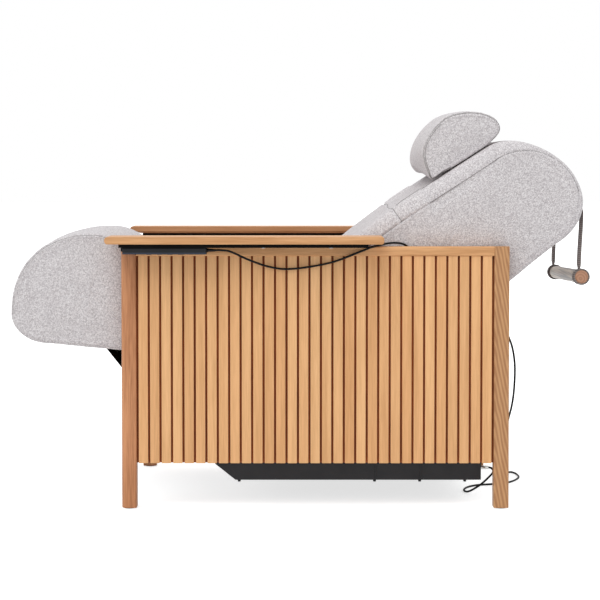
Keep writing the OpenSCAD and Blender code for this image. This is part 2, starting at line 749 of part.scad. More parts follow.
// How much a point takes part in the recess: only the face, from the cross seam to the top
function recess_at(p) = let (q = along(p))
    q[1] < back_front * 0.6 ? 0 :
        ramp(q[0], seam_u - recess_edge, seam_u + recess_edge)
        * (1 - ramp(q[0], back_len - roll_r, back_len + roll_r));
bolster_y = soft_half - bolster_w;
back_ys = concat([-soft_half + soft_round, -bolster_y - recess_edge, -bolster_y],
    [for (s = [-0.5, 0, 0.5]) s * bolster_y],
    [bolster_y, bolster_y + recess_edge, soft_half - soft_round]);
back_stations = stations(soft_half, soft_round, back_ys);
function recess_y(y) = abs(y) <= bolster_y ? 1 : 0;
board_u0 = -30;
board_v = 6;
arm_reach = 250;
arm_steel_t = 10;
eye_r = shaft_r + 6;
slot_fit = 1;
module back_plane(y0, y1) {
    across(y0, y1)
        translate([axis_x, recline_z])
            rotate(back_slope)
                children();
}
module backrest_cushion() {
    color(melange)
        difference() {
            soft_form([for (s = back_stations) swell(back_pts,
                    [for (p = back_pts) -s[1] - recess * recess_at(p) * recess_y(s[0])])],
                [for (s = back_stations) s[0]], back_at(back_len * 0.62, 0), side_bulge);
            // Pocket for the board and its arms
            back_plane(-back_board_w / 2 - slot_fit, back_board_w / 2 + slot_fit)
                translate([board_u0 - slot_fit, board_v - back_board_t - arm_steel_t - slot_fit])
                    square([back_len - board_u0 + slot_fit * 2, back_board_t + arm_steel_t + slot_fit * 2]);
            // Tunnel for the shaft and the arms' eyes, and a slot for the lug
            across(-soft_half - soft_round, soft_half + soft_round)
                translate([axis_x, recline_z]) circle(r = eye_r + slot_fit, $fn = 32);
            translate([axis_x - lug_r - slot_fit * 3, actuator_at - lug_t / 2 - slot_fit, recline_z - roll_r * 2])
                cube([lug_r * 2 + slot_fit * 6, lug_t + slot_fit * 2, roll_r * 2]);
        }
}
module backrest_board() {
    color(oak)
        back_plane(-back_board_w / 2, back_board_w / 2)
            translate([eye_r + slot_fit * 2, board_v - back_board_t])
                square([back_len - eye_r - slot_fit * 2, back_board_t]);
}
module backrest_arms() {
    color(black_paint)
        both_sides()
            difference() {
                back_plane(-arm_bar_at - arm_bar_w / 2, -arm_bar_at + arm_bar_w / 2) {
                    circle(r = eye_r, $fn = smooth);
                    translate([0, board_v - back_board_t - arm_steel_t])
                        square([arm_reach, arm_steel_t]);
                }
                back_plane(-arm_bar_at - arm_bar_w, -arm_bar_at + arm_bar_w)
                    circle(r = shaft_r + run_fit, $fn = smooth);
            }
}
module recline_shaft() {
    color(steel)
        across(-inner_y + seat_fit, inner_y - seat_fit)
            translate([axis_x, recline_z]) circle(r = shaft_r, $fn = smooth);
}
// A lug hangs from its shaft, with the clevis pin in its lower end
module lug(axis, axis_hole, boss, lever, swing) {
    low = axis + turn([0, -lever], swing);
    side = turn([boss, 0], swing);
    foot = turn([lug_r, 0], swing);
    across(actuator_side(lever) - lug_t / 2, actuator_side(lever) + lug_t / 2)
        difference() {
            union() {
                translate(axis) circle(r = boss, $fn = smooth);
                polygon([axis - side, low - foot, low + foot, axis + side]);
                translate(low) circle(r = lug_r, $fn = smooth);
            }
            translate(axis) circle(r = axis_hole, $fn = smooth);
        }
}
function actuator_side(lever) = lever == back_lever ? actuator_at : -actuator_at;
back_lug_swing = -(recline_up - recline_down) / 2 + 3.5;
leg_lug_swing = -leg_down / 2;
module recline_lug() {
    color(black_paint) lug([axis_x, recline_z], shaft_r + run_fit, eye_r, back_lever, back_lug_swing);
}

// Webbing from under the pillow over the top to the keepers behind it
strap_lie = 0.6;
crest_pts = concat(
    [for (i = [1:-1:0]) back_face[i]],
    [for (i = [len(back_front_arc) - 1:-1:0]) back_front_arc[i]],
    [back_rear_arc[6], back_rear_arc[5], back_rear_arc[4]]);
function strip_out(pts, i) = let (a = pts[max(0, i - 1)], b = pts[min(len(pts) - 1, i + 1)], t = b - a)
    [-t[1], t[0]] / norm(t);
function strip(pts, near, far) = concat(
    [for (i = [0:len(pts) - 1]) pts[i] + strip_out(pts, i) * near],
    [for (i = [len(pts) - 1:-1:0]) pts[i] + strip_out(pts, i) * far]);
module at_straps(w) {
    both_sides() across(-strap_at - w / 2, -strap_at + w / 2) children();
}
module pillow_straps() {
    color(taupe) at_straps(strap_w) polygon(strip(crest_pts, strap_lie, strap_lie + strap_t));
}
keeper_wrap = 3;
keeper_t = 1.5;
crest_last = len(crest_pts) - 1;
function heading_of(a, b) = (b - a) / norm(b - a);
keeper_mid = crest_pts[crest_last - 1];
keeper_up_share = 0.38;
keeper_line = [
    keeper_mid - heading_of(crest_pts[crest_last - 2], keeper_mid) * keeper_len * keeper_up_share,
    keeper_mid,
    keeper_mid + heading_of(keeper_mid, crest_pts[crest_last]) * keeper_len * (1 - keeper_up_share)];
module strap_keepers() {
    color(melange)
        at_straps(strap_w + keeper_wrap * 2)
            polygon(strip(keeper_line, strap_lie + strap_t + 0.1, strap_lie + strap_t + keeper_t));
}

// Pillow: a D-shaped cushion that lies on the straps and slides along the slope
pillow_u = back_len - pillow_drop;
pillow_v = back_front + strap_lie + strap_t + seat_fit + pillow_base;
pillow_c = back_at(pillow_u, pillow_v);
base_power = 3.4;
pillow_aft_power = 1.6;
pillow_fore_power = 1.77;
pillow_pts = concat(
    [for (i = [0:5]) sloped(pillow_c, quarter([0, 0], pillow_aft, pillow_base, base_power, 270))[i]],
    [for (i = [0:5]) sloped(pillow_c, quarter([0, 0], pillow_aft, pillow_h, pillow_aft_power, 0))[i]],
    [for (i = [0:5]) sloped(pillow_c, quarter([0, 0], pillow_fore, pillow_h, pillow_fore_power, 90))[i]],
    [for (i = [0:5]) sloped(pillow_c, quarter([0, 0], pillow_fore, pillow_base, base_power, 180))[i]]);
pillow_half = pillow_w / 2;
pillow_stations = stations(pillow_half, soft_round,
    [for (s = mid_shares) s * (pillow_half - soft_round)]);
function pillow_rise(p) = (turn(p - pillow_c, -back_slope))[1] > 0 ? 1 : 0;
module pillow() {
    color(melange)
        soft_form([for (s = pillow_stations) swell(pillow_pts,
                [for (p = pillow_pts) pillow_rise(p) * crown_at(s[0], pillow_half)
                    - s[1] * (0.35 + 0.65 * pillow_rise(p))])],
            [for (s = pillow_stations) s[0]], pillow_c, side_bulge);
}

// Counterweight bar hung on the two strap tails
tail_top_p = crest_pts[crest_last] + strip_out(crest_pts, crest_last) * (strap_lie + strap_t / 2);
bar_x = tail_top_p[0];
bar_len = (strap_at + strap_w / 2 + bar_over) * 2;
function bar_z_at(y) = bar_z - y * tan(bar_tilt);
module in_bar() {
    translate([bar_x, 0, bar_z])
        rotate([90 - bar_tilt, 0, 0])
            children();
}
module bar_tube(len, r, bore) {
    translate([0, 0, -len / 2])
        difference() {
            cylinder(h = len, r = r, $fn = smooth);
            if (bore > 0)
                translate([0, 0, -over]) cylinder(h = len + over * 2, r = bore, $fn = smooth);
        }
}
module counterweight_bar() {
    color(oak) in_bar() bar_tube(bar_len - cap_t * 2, bar_r, core_r + run_fit);
}
module counterweight_core() {
    color(steel) in_bar() bar_tube(bar_len - cap_t * 2, core_r, 0);
}
module counterweight_caps() {
    color(oak_dark)
        in_bar()
            for (s = [-1, 1])
                translate([0, 0, s * (bar_len - cap_t) / 2])
                    bar_tube(cap_t, bar_r, 0);
}
module strap_loops() {
    color(taupe)
        in_bar()
            for (s = [-1, 1])
                translate([0, 0, s * strap_at])
                    bar_tube(strap_w, bar_r + run_fit + strap_t, bar_r + run_fit);
}
tail_fit = 0.3;
module strap_tails() {
    color(taupe)
        for (s = [-1, 1])
            across(s * strap_at - strap_w / 2, s * strap_at + strap_w / 2)
                let (low = [bar_x, bar_z_at(s * strap_at) + bar_r + strap_t + strap_w * tan(bar_tilt) + tail_fit])
                    polygon([low - [strap_t / 2, 0], low + [strap_t / 2, 0],
                        tail_top_p + [strap_t / 2, -tail_fit], tail_top_p + [-strap_t / 2, -tail_fit]]);
}

// Leg rest, in heights and distances from its axis
function leg_at(forward, up) = [leg_x - forward, leg_axis_z + up];
foot_power = 2.15;
foot_corner_power = 1.95;
tail_r = (tail_top - tail_low) / 2;
tail_c = leg_at(-tail_reach + tail_r, (tail_top + tail_low) / 2);
notch = 20;            // reach of the notch round the shaft in front of the axis
leg_crest = leg_at(knee_at, knee_h);
leg_slope = bend(tail_c + [0, tail_r], leg_at(knee_at * 0.21, knee_h * 0.44),
    leg_at(knee_at * 0.46, knee_h * 1.012), leg_crest, 9);
foot_low = leg_at(foot_low_at, foot_low_h);
leg_pts = concat(
    [foot_low, leg_at((foot_low_at + heel_at) / 2, (foot_low_h - heel_drop) / 2),
        leg_at(heel_at, -heel_drop), leg_at(heel_at - notch / 6, 0), leg_at(notch, tail_low)],
    arc(tail_c, tail_r, -90, 90, 5),
    leg_slope,
    [for (i = [1:8]) quarter(leg_at(knee_at, foot_mid_h), leg_reach - knee_at, knee_h - foot_mid_h,
        foot_power, 90, 8)[i]],
    [for (i = [1:5]) quarter(leg_at(foot_low_at, foot_mid_h), leg_reach - foot_low_at,
        foot_mid_h - foot_low_h, foot_corner_power, 180)[i]]);
// The lower faces and the tail keep their line, the upholstered round takes the crown
function leg_rise(p) = ramp(p[1], leg_axis_z + tail_top, leg_axis_z + knee_h * 0.5);
function leg_inset(p) = p[0] > leg_x - heel_at - notch ? 0.45 : 1;
leg_stations = stations(soft_half, soft_round, mid_ys);
leg_pitch = atan2(foot_low_h + heel_drop, foot_low_at - heel_at);
pocket_skin = 14;
leg_board_len = foot_low_at - heel_at - pocket_skin * 3;
module leg_plane(y0, y1) {
    across(y0, y1)
        translate(leg_at(heel_at, -heel_drop))
            rotate(180 - leg_pitch)
                children();
}
module legrest_cushion() {
    color(melange)
        difference() {
            soft_form([for (s = leg_stations) swell(leg_pts,
                    [for (p = leg_pts) leg_rise(p) * crown_at(s[0], soft_half) - s[1] * leg_inset(p)])],
                [for (s = leg_stations) s[0]], leg_at(knee_at, knee_h * 0.45), side_bulge);
            leg_plane(-leg_board_w / 2 - slot_fit, leg_board_w / 2 + slot_fit)
                translate([-notch * 2, -leg_board_t - leg_arm_t - slot_fit])
                    square([leg_board_len + pocket_skin + notch * 2 + slot_fit,
                        leg_board_t + leg_arm_t + slot_fit + soft_round]);
        }
}
module legrest_board() {
    color(oak)
        leg_plane(-leg_board_w / 2, leg_board_w / 2)
            translate([pocket_skin, -leg_board_t - leg_arm_t])
                square([leg_board_len, leg_board_t]);
}
leg_eye_r = leg_shaft_r + 6;
module legrest_arms() {
    eye = leg_at(0, 0);
    root = leg_at(heel_at, -heel_drop);
    color(black_paint)
        both_sides()
            difference() {
                union() {
                    leg_plane(-arm_bar_at - arm_bar_w / 2, -arm_bar_at + arm_bar_w / 2)
                        translate([0, -leg_arm_t]) square([leg_board_len, leg_arm_t]);
                    across(-arm_bar_at - arm_bar_w / 2, -arm_bar_at + arm_bar_w / 2) {
                        translate(eye) circle(r = leg_eye_r, $fn = smooth);
                        polygon([root, root + [leg_arm_t, 0], eye + [leg_eye_r * 0.7, -leg_eye_r * 0.7],
                            eye + [-leg_eye_r * 0.7, leg_eye_r * 0.7], root + [-leg_arm_t, leg_arm_t]]);
                    }
                }
                across(-arm_bar_at - arm_bar_w, -arm_bar_at + arm_bar_w)
                    translate(eye) circle(r = leg_shaft_r + run_fit, $fn = smooth);
            }
}
module legrest_shaft() {
    color(steel)
        across(-inner_y + seat_fit, inner_y - seat_fit)
            translate(leg_at(0, 0)) circle(r = leg_shaft_r, $fn = smooth);
}
module legrest_lug() {
    color(black_paint)
        lug(leg_at(0, 0), leg_shaft_r + run_fit, leg_eye_r, leg_lever, leg_lug_swing);
}

// Linear actuators: gearbox and motor on a bracket, outer tube, and a rod with a fork
leg_line_z = leg_axis_z - leg_lever * 0.9;
back_line_z = recline_z - back_lever * 0.95;
leg_pin_x = leg_x + (turn([0, -leg_lever], leg_lug_swing))[0];
back_pin_x = axis_x + (turn([0, -back_lever], back_lug_swing))[0];
fork_reach = 34;
ear_gap = 0.5;
ear_r = 17;
rod_spare = 30;
tube_lever_share = 1.59;
leg_tube_end = leg_pin_x + fork_reach + leg_lever * tube_lever_share;
leg_gear_x = tube_places[1] - gearbox_w - cross_w * 1.2;
back_tube_end = back_pin_x + fork_reach + back_lever * 0.55;
back_gear_x = tube_places[2] - gearbox_w - cross_w / 2;
motor_drop = 10;
foot_t = 6;
module actuator(side, line_z, gear_x, tube_end, tube_x, tube_place) {
    y = side * actuator_at;
    tube_side = gear_x > tube_end ? gear_x : gear_x;
    low = min(tube_end, gear_x);
    translate([low, y, line_z])
        rotate([0, 90, 0])
            difference() {
                cylinder(h = gear_x - low + over, r = actuator_r, $fn = smooth);
                translate([0, 0, -over])
                    cylinder(h = gear_x - low + over, r = rod_r + run_fit * 4, $fn = smooth);
            }
    translate([gear_x, y - motor_r, line_z - motor_r])
        cube([gearbox_w, motor_r * 2, motor_r * 2 - over * 2]);
    translate([gear_x + gearbox_w - motor_len, y + side * (motor_r * 2 + over), line_z - motor_drop])
        rotate([0, 90, 0])
            cylinder(h = motor_len, r = motor_r - over * 2, $fn = smooth);
    translate([gear_x, y - (side > 0 ? 0 : motor_r * 2), line_z - motor_r])
        cube([gearbox_w / 2, motor_r * 2, motor_r]);
    // Mounting foot from the gearbox to the top of the cross tube
    translate([gear_x, y - motor_r, tube_z + cross_h])
        cube([tube_place + cross_w - gear_x, motor_r * 2, foot_t]);
    translate([gear_x, y - foot_t / 2, tube_z + cross_h])
        cube([gearbox_w, foot_t, line_z - motor_r - tube_z - cross_h + over]);
}
module leg_actuator() {
    color(steel)
        actuator(-1, leg_line_z, leg_gear_x, leg_tube_end, 0, tube_places[1]);
}
module back_actuator() {
    color(steel)
        actuator(1, back_line_z, back_gear_x, back_tube_end, 0, tube_places[2]);
}
module fork_rod(side, line_z, pin_x, rod_end) {
    y = side * actuator_at;
    fork_w = lug_t + ear_gap * 2 + ear_t * 2;
    for (s = [-1, 1])
        across(y + s * (lug_t / 2 + ear_gap + ear_t / 2) - ear_t / 2,
            y + s * (lug_t / 2 + ear_gap + ear_t / 2) + ear_t / 2) {
            translate([pin_x, line_z]) circle(r = ear_r, $fn = smooth);
            translate([pin_x, line_z - ear_r * 0.6]) square([fork_reach, ear_r * 1.2]);
        }
    translate([pin_x + fork_reach - ear_t, y - fork_w / 2, line_z - ear_r * 0.6])
        cube([ear_t, fork_w, ear_r * 1.2]);
    translate([pin_x + fork_reach - over, y, line_z])
        rotate([0, 90, 0])
            cylinder(h = rod_end - pin_x - fork_reach, r = rod_r, $fn = smooth);
}
module leg_actuator_rod() {
    color(steel) fork_rod(-1, leg_line_z, leg_pin_x, leg_gear_x - leg_lever * 1.25);
}
module back_actuator_rod() {
    color(steel) fork_rod(1, back_line_z, back_pin_x, back_gear_x - back_lever * 0.55);
}

// Hand controller under the left armrest, its buttons facing down
ctrl_x = front_x + ctrl_at;
ctrl_y0 = -half_w - ctrl_out - ctrl_w;
ctrl_top = frame_h - cradle_t;
ctrl_low = ctrl_top - ctrl_t;
ctrl_mid_y = ctrl_y0 + ctrl_w / 2;
ctrl_mid_z = ctrl_low + ctrl_t / 2;
ctrl_split = ctrl_low + ctrl_wall * 2;
ctrl_corner = 5;
cradle_lip = 3;
cradle_stop = 7;
ctrl_fit = 0.2;
module controller_cradle() {
    color(plastic_black) {
        translate([ctrl_x - cradle_lip - ctrl_fit, ctrl_y0 + ctrl_corner, ctrl_top])
            cube([ctrl_len + cradle_lip + ctrl_fit, ctrl_w - ctrl_corner * 2, cradle_t]);
        translate([ctrl_x - cradle_lip - ctrl_fit, ctrl_y0 + ctrl_corner, ctrl_top - cradle_stop])
            cube([cradle_lip, ctrl_w - ctrl_corner * 2, cradle_stop]);
    }
}
module ctrl_slab(z0, z1, inset, r) {
    translate([ctrl_x + inset, ctrl_y0 + inset, z0])
        linear_extrude(z1 - z0)
            polygon(rounded(ctrl_len - inset * 2, ctrl_w - inset * 2, [r, r, r, r]));
}
cord_hole_r = cord_r + 1;
module controller_case() {
    color(plastic_black)
        difference() {
            ctrl_slab(ctrl_split, ctrl_top - seat_fit / 3, 0, ctrl_corner);
            ctrl_slab(ctrl_split - over, ctrl_top - ctrl_wall, ctrl_wall, ctrl_corner - ctrl_wall);
            translate([ctrl_x + ctrl_len - ctrl_wall - over, ctrl_mid_y, ctrl_mid_z + ctrl_wall])
                rotate([0, 90, 0])
                    cylinder(h = ctrl_wall + over * 2, r = cord_hole_r, $fn = smooth);
        }
}
button_pitch = 24;
flange = 1.4;
button_fit = 0.3;
button_xs = [for (i = [0:3]) ctrl_x + ctrl_len / 2 + (i - 1.5) * button_pitch];
module controller_face() {
    color("#272931")
        difference() {
            ctrl_slab(ctrl_low, ctrl_split, 0, ctrl_corner);
            ctrl_slab(ctrl_low + ctrl_wall, ctrl_split + over, ctrl_wall, ctrl_corner - ctrl_wall);
            for (x = button_xs)
                translate([x, ctrl_mid_y, ctrl_low - over])
                    cylinder(h = ctrl_t, r = button_r + run_fit * 2, $fn = smooth);
        }
}
circuit_t = 1.6;
module controller_circuit() {
    color("darkgreen")
        ctrl_slab(ctrl_top - ctrl_wall - circuit_t - seat_fit / 3, ctrl_top - ctrl_wall - seat_fit / 3,
            ctrl_wall + ctrl_fit, ctrl_corner - ctrl_wall);
}
module button(i) {
    color("#3a3c44")
        translate([button_xs[i], ctrl_mid_y, ctrl_low - button_proud]) {
            cylinder(h = button_proud + ctrl_wall + button_fit, r = button_r, $fn = smooth);
            translate([0, 0, button_proud + ctrl_wall + button_fit])
                cylinder(h = flange, r = button_r + flange, $fn = smooth);
        }
}
module button_back_up() { button(0); }
module button_back_down() { button(1); }
module button_legs_up() { button(2); }
module button_legs_down() { button(3); }

// Cord of the controller, chosen point by point from the controller to its connector
cord_start = [ctrl_x + ctrl_len + boot_len, ctrl_mid_y, ctrl_mid_z + ctrl_wall];
boot_root = cord_r * 1.6;
module controller_boot() {
    color(plastic_black)
        translate(cord_start - [boot_len, 0, 0])
            rotate([0, 90, 0]) {
                cylinder(h = boot_len, r1 = boot_root, r2 = cord_r + ctrl_fit, $fn = smooth);
                translate([0, 0, -ctrl_wall])
                    cylinder(h = ctrl_wall + over / 2, r = cord_hole_r - ctrl_fit, $fn = smooth);
            }
}
cord_points = [[-182, -354, 603.5], [-160, -351, 600], [-118, -335, 580], [-70, -325.5, 563.5],
    [-20, -325, 559], [67, -325, 573], [138, -326, 599], [161, -325.5, 608.5], [182, -317, 613.4],
    [202, -308, 617.3], [223, -296, 618], [240, -286.3, 614.5], [252, -281.6, 607], [265, -281.3, 598],
    [283, -281, 585], [350, -281, 527], [463, -281, 429], [489, -281, 391], [500, -281, 345],
    [501, -280, 295], [496, -276, 240], [484, -245, 172], [483, -160, 92], [494, -50, 36],
    [508, 50, 9], [521, 120, 2.5], [533, 168, 2.5], [546, 180, 2.5], [556, 148, 2.5],
    [554, 92, 2.5], [524, 29, 2.5], [479, 0, 2.5], [440, -14, 2.5], [412, -45, 2.5],
    [400, -88, 2.5], [409, -118, 5], [434, -139, 24], [457, -147.5, 47], [465, -149.5, 59],
    [461, -150, 67]];
plug_end = [pan_rear + plug_len, plug_y, plug_z];
cord_knots = concat([cord_start], cord_points, [plug_end]);
function knot(i) = cord_knots[min(len(cord_knots) - 1, max(0, i))];
function glide(i, t) = let (a = knot(i - 1), b = knot(i), c = knot(i + 1), d = knot(i + 2))
    0.5 * (2 * b + (c - a) * t + (2 * a - 5 * b + 4 * c - d) * t * t + (3 * b - a - 3 * c + d) * t * t * t);
function on_floor(p) = [p[0], p[1], max(p[2], cord_r)];
cord_path = concat([for (i = [0:len(cord_knots) - 2]) for (t = [0, 0.5]) on_floor(glide(i, t))],
    [plug_end]);
cord_sides = 8;
function heading(i) = let (n = len(cord_path) - 1,
        d = i == 0 ? [1, 0, 0] : i == n ? [-1, 0, 0] : cord_path[i + 1] - cord_path[i - 1])
    d / norm(d);
function frame_side(i) = let (s = cross(heading(i), [0, 0, 1]), m = norm(s))
    m < 0.2 ? [0, -1, 0] : s / m;
function cord_ring(i) = let (h = heading(i), s0 = frame_side(i), u = cross(s0, h), s = cross(h, u))
    [for (k = [0:cord_sides - 1]) let (a = 360 * (k + 0.5) / cord_sides)
        cord_path[i] + cord_r / cos(180 / cord_sides) * (s * cos(a) + u * sin(a))];
module controller_cord() {
    n = len(cord_path);
    m = cord_sides;
    points = [for (i = [0:n - 1]) each cord_ring(i)];
    faces = concat(
        [[for (k = [0:m - 1]) k]],
        [for (i = [0:n - 2]) for (k = [0:m - 1]) [i * m + k, (i + 1) * m + k, i * m + (k + 1) % m]],
        [for (i = [0:n - 2]) for (k = [0:m - 1])
            [i * m + (k + 1) % m, (i + 1) * m + k, (i + 1) * m + (k + 1) % m]],
        [[for (k = [m - 1:-1:0]) (n - 1) * m + k]]);
    color(plastic_black) polyhedron(points, faces, convexity = 8);
}
plug_grip = 0.85;
module controller_plug() {
    color("silver")
        translate(plug_end)
            rotate([0, -90, 0]) {
                cylinder(h = plug_len + socket_depth - flange_t * 2, r = plug_r * plug_grip, $fn = smooth);
                cylinder(h = plug_len - flange_t, r = plug_r, $fn = smooth);
            }
}

left_front_post();
left_rear_post();
right_front_post();
right_rear_post();
left_top_rail();
right_top_rail();
left_panel_board();
right_panel_board();
left_slats();
right_slats();
left_armrest();
right_armrest();
armrest_plates();
armrest_screws();
floor_glides();
chassis_rails();
cross_tubes();
chassis_brackets();
pivot_bushes();
base_pan();
pan_clips();
dust_cloth();
control_box();
mains_inlet();
controller_socket();
seat_board();
seat_cushion();
backrest_cushion();
backrest_board();
backrest_arms();
recline_shaft();
recline_lug();
pillow_straps();
strap_keepers();
pillow();
strap_tails();
counterweight_bar();
counterweight_core();
counterweight_caps();
strap_loops();
legrest_cushion();
legrest_board();
legrest_arms();
legrest_shaft();
legrest_lug();
leg_actuator();
leg_actuator_rod();
back_actuator();
back_actuator_rod();
controller_cradle();
controller_case();
controller_face();
controller_circuit();
button_back_up();
button_back_down();
button_legs_up();
button_legs_down();
controller_boot();
controller_cord();
controller_plug();
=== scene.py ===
import json
from math import acos, copysign, cos, exp, pi, radians, sin, tan, tau

import bpy
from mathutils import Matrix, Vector, noise


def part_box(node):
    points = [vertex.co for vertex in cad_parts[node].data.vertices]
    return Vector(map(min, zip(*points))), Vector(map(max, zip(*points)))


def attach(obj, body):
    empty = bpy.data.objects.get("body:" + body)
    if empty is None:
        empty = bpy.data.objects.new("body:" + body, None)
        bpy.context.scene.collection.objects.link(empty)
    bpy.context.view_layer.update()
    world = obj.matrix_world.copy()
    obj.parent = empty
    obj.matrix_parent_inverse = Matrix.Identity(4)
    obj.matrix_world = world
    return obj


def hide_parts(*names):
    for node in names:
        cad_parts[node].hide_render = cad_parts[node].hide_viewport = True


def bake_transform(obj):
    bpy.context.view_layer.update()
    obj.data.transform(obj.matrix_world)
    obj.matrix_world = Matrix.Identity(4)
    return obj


bl_info = {
    "name": "Reflexology Chair Looks",
    "version": (1, 0, 0),
    "blender": (4, 5, 0),
    "location": "3D View > Sidebar > Chair",
    "description": "Upholstery, oak, webbing, cord and stage for the packed reclining reflexology chair",
    "category": "Object",
}

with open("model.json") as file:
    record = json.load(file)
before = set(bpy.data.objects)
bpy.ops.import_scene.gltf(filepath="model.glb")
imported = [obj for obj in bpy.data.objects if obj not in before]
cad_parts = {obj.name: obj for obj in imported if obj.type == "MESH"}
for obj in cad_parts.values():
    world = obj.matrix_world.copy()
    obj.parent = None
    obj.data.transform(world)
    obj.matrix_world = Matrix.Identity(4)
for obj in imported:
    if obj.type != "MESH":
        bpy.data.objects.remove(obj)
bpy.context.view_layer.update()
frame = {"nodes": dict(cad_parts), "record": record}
NODES = frame["nodes"]

# Sizes that the soft pieces share with the construction, in metres
MM = 0.001
RECLINE_AXIS = Vector((0.025, 0.400))
LEG_AXIS = Vector((-0.290, 0.395))
BACK_SLOPE = radians(33)
BACK_LEN = 0.594
BACK_FRONT = 0.146
BACK_REAR = 0.133
BACK_TOP = 0.127
TOP_LOW = 0.013
ROLL_R = 0.050
ROLL_TURN = radians(290)
SEAM_DROP = 0.273
SEAM_U = BACK_LEN - SEAM_DROP
CUSHION_HALF = 0.272
PILLOW_HALF = 0.245
PILLOW_BASE = 0.035
STRAP_AT = 0.226
STRAP_W = 0.026
STRAP_T = 0.002
BAR_R = 0.016
BAR_LEN = 0.480
BAR_Z = 0.527
BAR_TILT = radians(2.0)
SLATS = 31
SLAT_GAP = 0.0051

# Sizes of the sewing, which only the visual model has
CROWN = 0.006
WELT_AT = 0.226
# Where a dark cord of painted shade runs along the near bolster's crown
CHANNEL_SHADE_AT = 0.236
WELT_W = 0.004

# The fitted camera, in millimetres, shares of the picture, metres and degrees
LENS = 113.2
LENS_SHIFT = (-0.0009, -0.1047)
CAMERA_HEIGHT = 0.8126
CAMERA_DOWN = 2.37

SIDES = ((-1, "left"), (1, "right"))
X_AXIS, Y_AXIS, Z_AXIS = range(3)
SLOTS = {s["node"]: s.get("material_slot") for s in frame["record"]["subparts"]}


def linear(hex_colour):
    """Turn an sRGB hex colour such as c9986d into linear RGBA."""
    parts = [int(hex_colour[i:i + 2], 16) / 255 for i in (0, 2, 4)]
    return tuple(c / 12.92 if c <= 0.04045 else ((c + 0.055) / 1.055) ** 2.4 for c in parts) + (1.0,)


# Plane curves, as pairs of X and Z
def turned(p, angle):
    """Turn a flat point about the origin, from X towards Z."""
    c, s = cos(angle), sin(angle)
    return Vector((p[0] * c - p[1] * s, p[0] * s + p[1] * c))


def back_at(u, v):
    """Point of the side view at u up the backrest and v out of its face."""
    return RECLINE_AXIS + turned((u, v), BACK_SLOPE)


def back_uv(p):
    """How far a side-view point lies up the backrest and out of its face."""
    return turned(Vector(p) - RECLINE_AXIS, -BACK_SLOPE)


def leg_at(forward, up):
    """Point of the side view, forward of and above the leg rest's axis."""
    return LEG_AXIS + Vector((-forward, up))


def bend(p0, p1, p2, p3, count):
    """Points of a cubic curve after its first one."""
    made = []
    for i in range(1, count + 1):
        t = i / count
        s = 1 - t
        made.append(p0 * s ** 3 + p1 * (3 * s * s * t) + p2 * (3 * s * t * t) + p3 * t ** 3)
    return made


def rounded_quarter(a, b, power, start, count=24):
    """Quarter of a rounded-square curve about the origin, from start degrees on."""
    made = []
    for i in range(count + 1):
        t = radians(start + 90 * i / count)
        c, s = cos(t), sin(t)
        made.append(Vector((copysign(abs(c) ** (2 / power), c) * a,
                            copysign(abs(s) ** (2 / power), s) * b)))
    return made


def arc(centre, radius, start, end, count):
    """Points of a circle's arc, in degrees."""
    turns = [radians(start + (end - start) * i / count) for i in range(count + 1)]
    return [Vector(centre) + radius * Vector((cos(t), sin(t))) for t in turns]


def ramp(value, low, high):
    """Smooth step from 0 at low to 1 at high."""
    t = min(1.0, max(0.0, (value - low) / (high - low)))
    return t * t * (3 - 2 * t)


def bell(x, width):
    """A smooth hump: 1 at 0 and almost nothing two widths away."""
    return exp(-(x / width) ** 2)


def evenly(points, count, closed=True):
    """Resample a line at even spacing."""
    pts = list(points) + ([points[0]] if closed else [])
    lengths = [0.0]
    for a, b in zip(pts, pts[1:]):
        lengths.append(lengths[-1] + (b - a).length)
    total, made, k = lengths[-1], [], 0
    steps = count if closed else count - 1
    for i in range(count):
        want = total * i / steps
        while k < len(pts) - 2 and lengths[k + 1] < want:
            k += 1
        span = lengths[k + 1] - lengths[k]
        t = 0 if span < 1e-9 else (want - lengths[k]) / span
        made.append(pts[k].lerp(pts[k + 1], min(1.0, t)))
    return made


def outward(pts, i):
    """Direction out of a closed side view at one of its points."""
    t = (pts[(i + 1) % len(pts)] - pts[i - 1]).normalized()
    return Vector((t[1], -t[0]))


def at_y(points, y):
    """Side-view points, set at one place across the chair."""
    return [Vector((p[0], y, p[1])) for p in points]


def on_slope(centre, *quarter):
    """A rounded quarter about a centre, turned with the backrest."""
    return [centre + turned(p, BACK_SLOPE) for p in rounded_quarter(*quarter)]


def backrest_outline():
    """The backrest's side view: underside, rear, round top, face, lumbar curve and lower roll."""
    roll_end = RECLINE_AXIS + ROLL_R * Vector((cos(ROLL_TURN), sin(ROLL_TURN)))
    roll_front = RECLINE_AXIS + Vector((-ROLL_R, 0))
    under_end = back_at(0.461, -0.147)
    face_low = back_at(0.352, BACK_FRONT)
    top = back_at(BACK_LEN, -TOP_LOW)
    under = bend(roll_end, roll_end + turned((ROLL_R * 3, 0), ROLL_TURN - pi * 1.5),
                 under_end - turned((ROLL_R * 2.4, 0), BACK_SLOPE + radians(6)), under_end, 30)
    rear = on_slope(top, BACK_TOP, BACK_REAR - TOP_LOW, 2.4, 270)
    front = on_slope(top, BACK_TOP, BACK_FRONT + TOP_LOW, 1.68, 0)
    lumbar = bend(face_low, face_low + turned((ROLL_R * 3.4, 0), BACK_SLOPE + radians(181.2)),
                  roll_front + Vector((0, ROLL_R * 2.2)), roll_front, 30)
    roll = arc(RECLINE_AXIS, ROLL_R, 184, 286, 20)
    return [roll_end] + under + rear + front[1:] + [face_low] + lumbar + roll


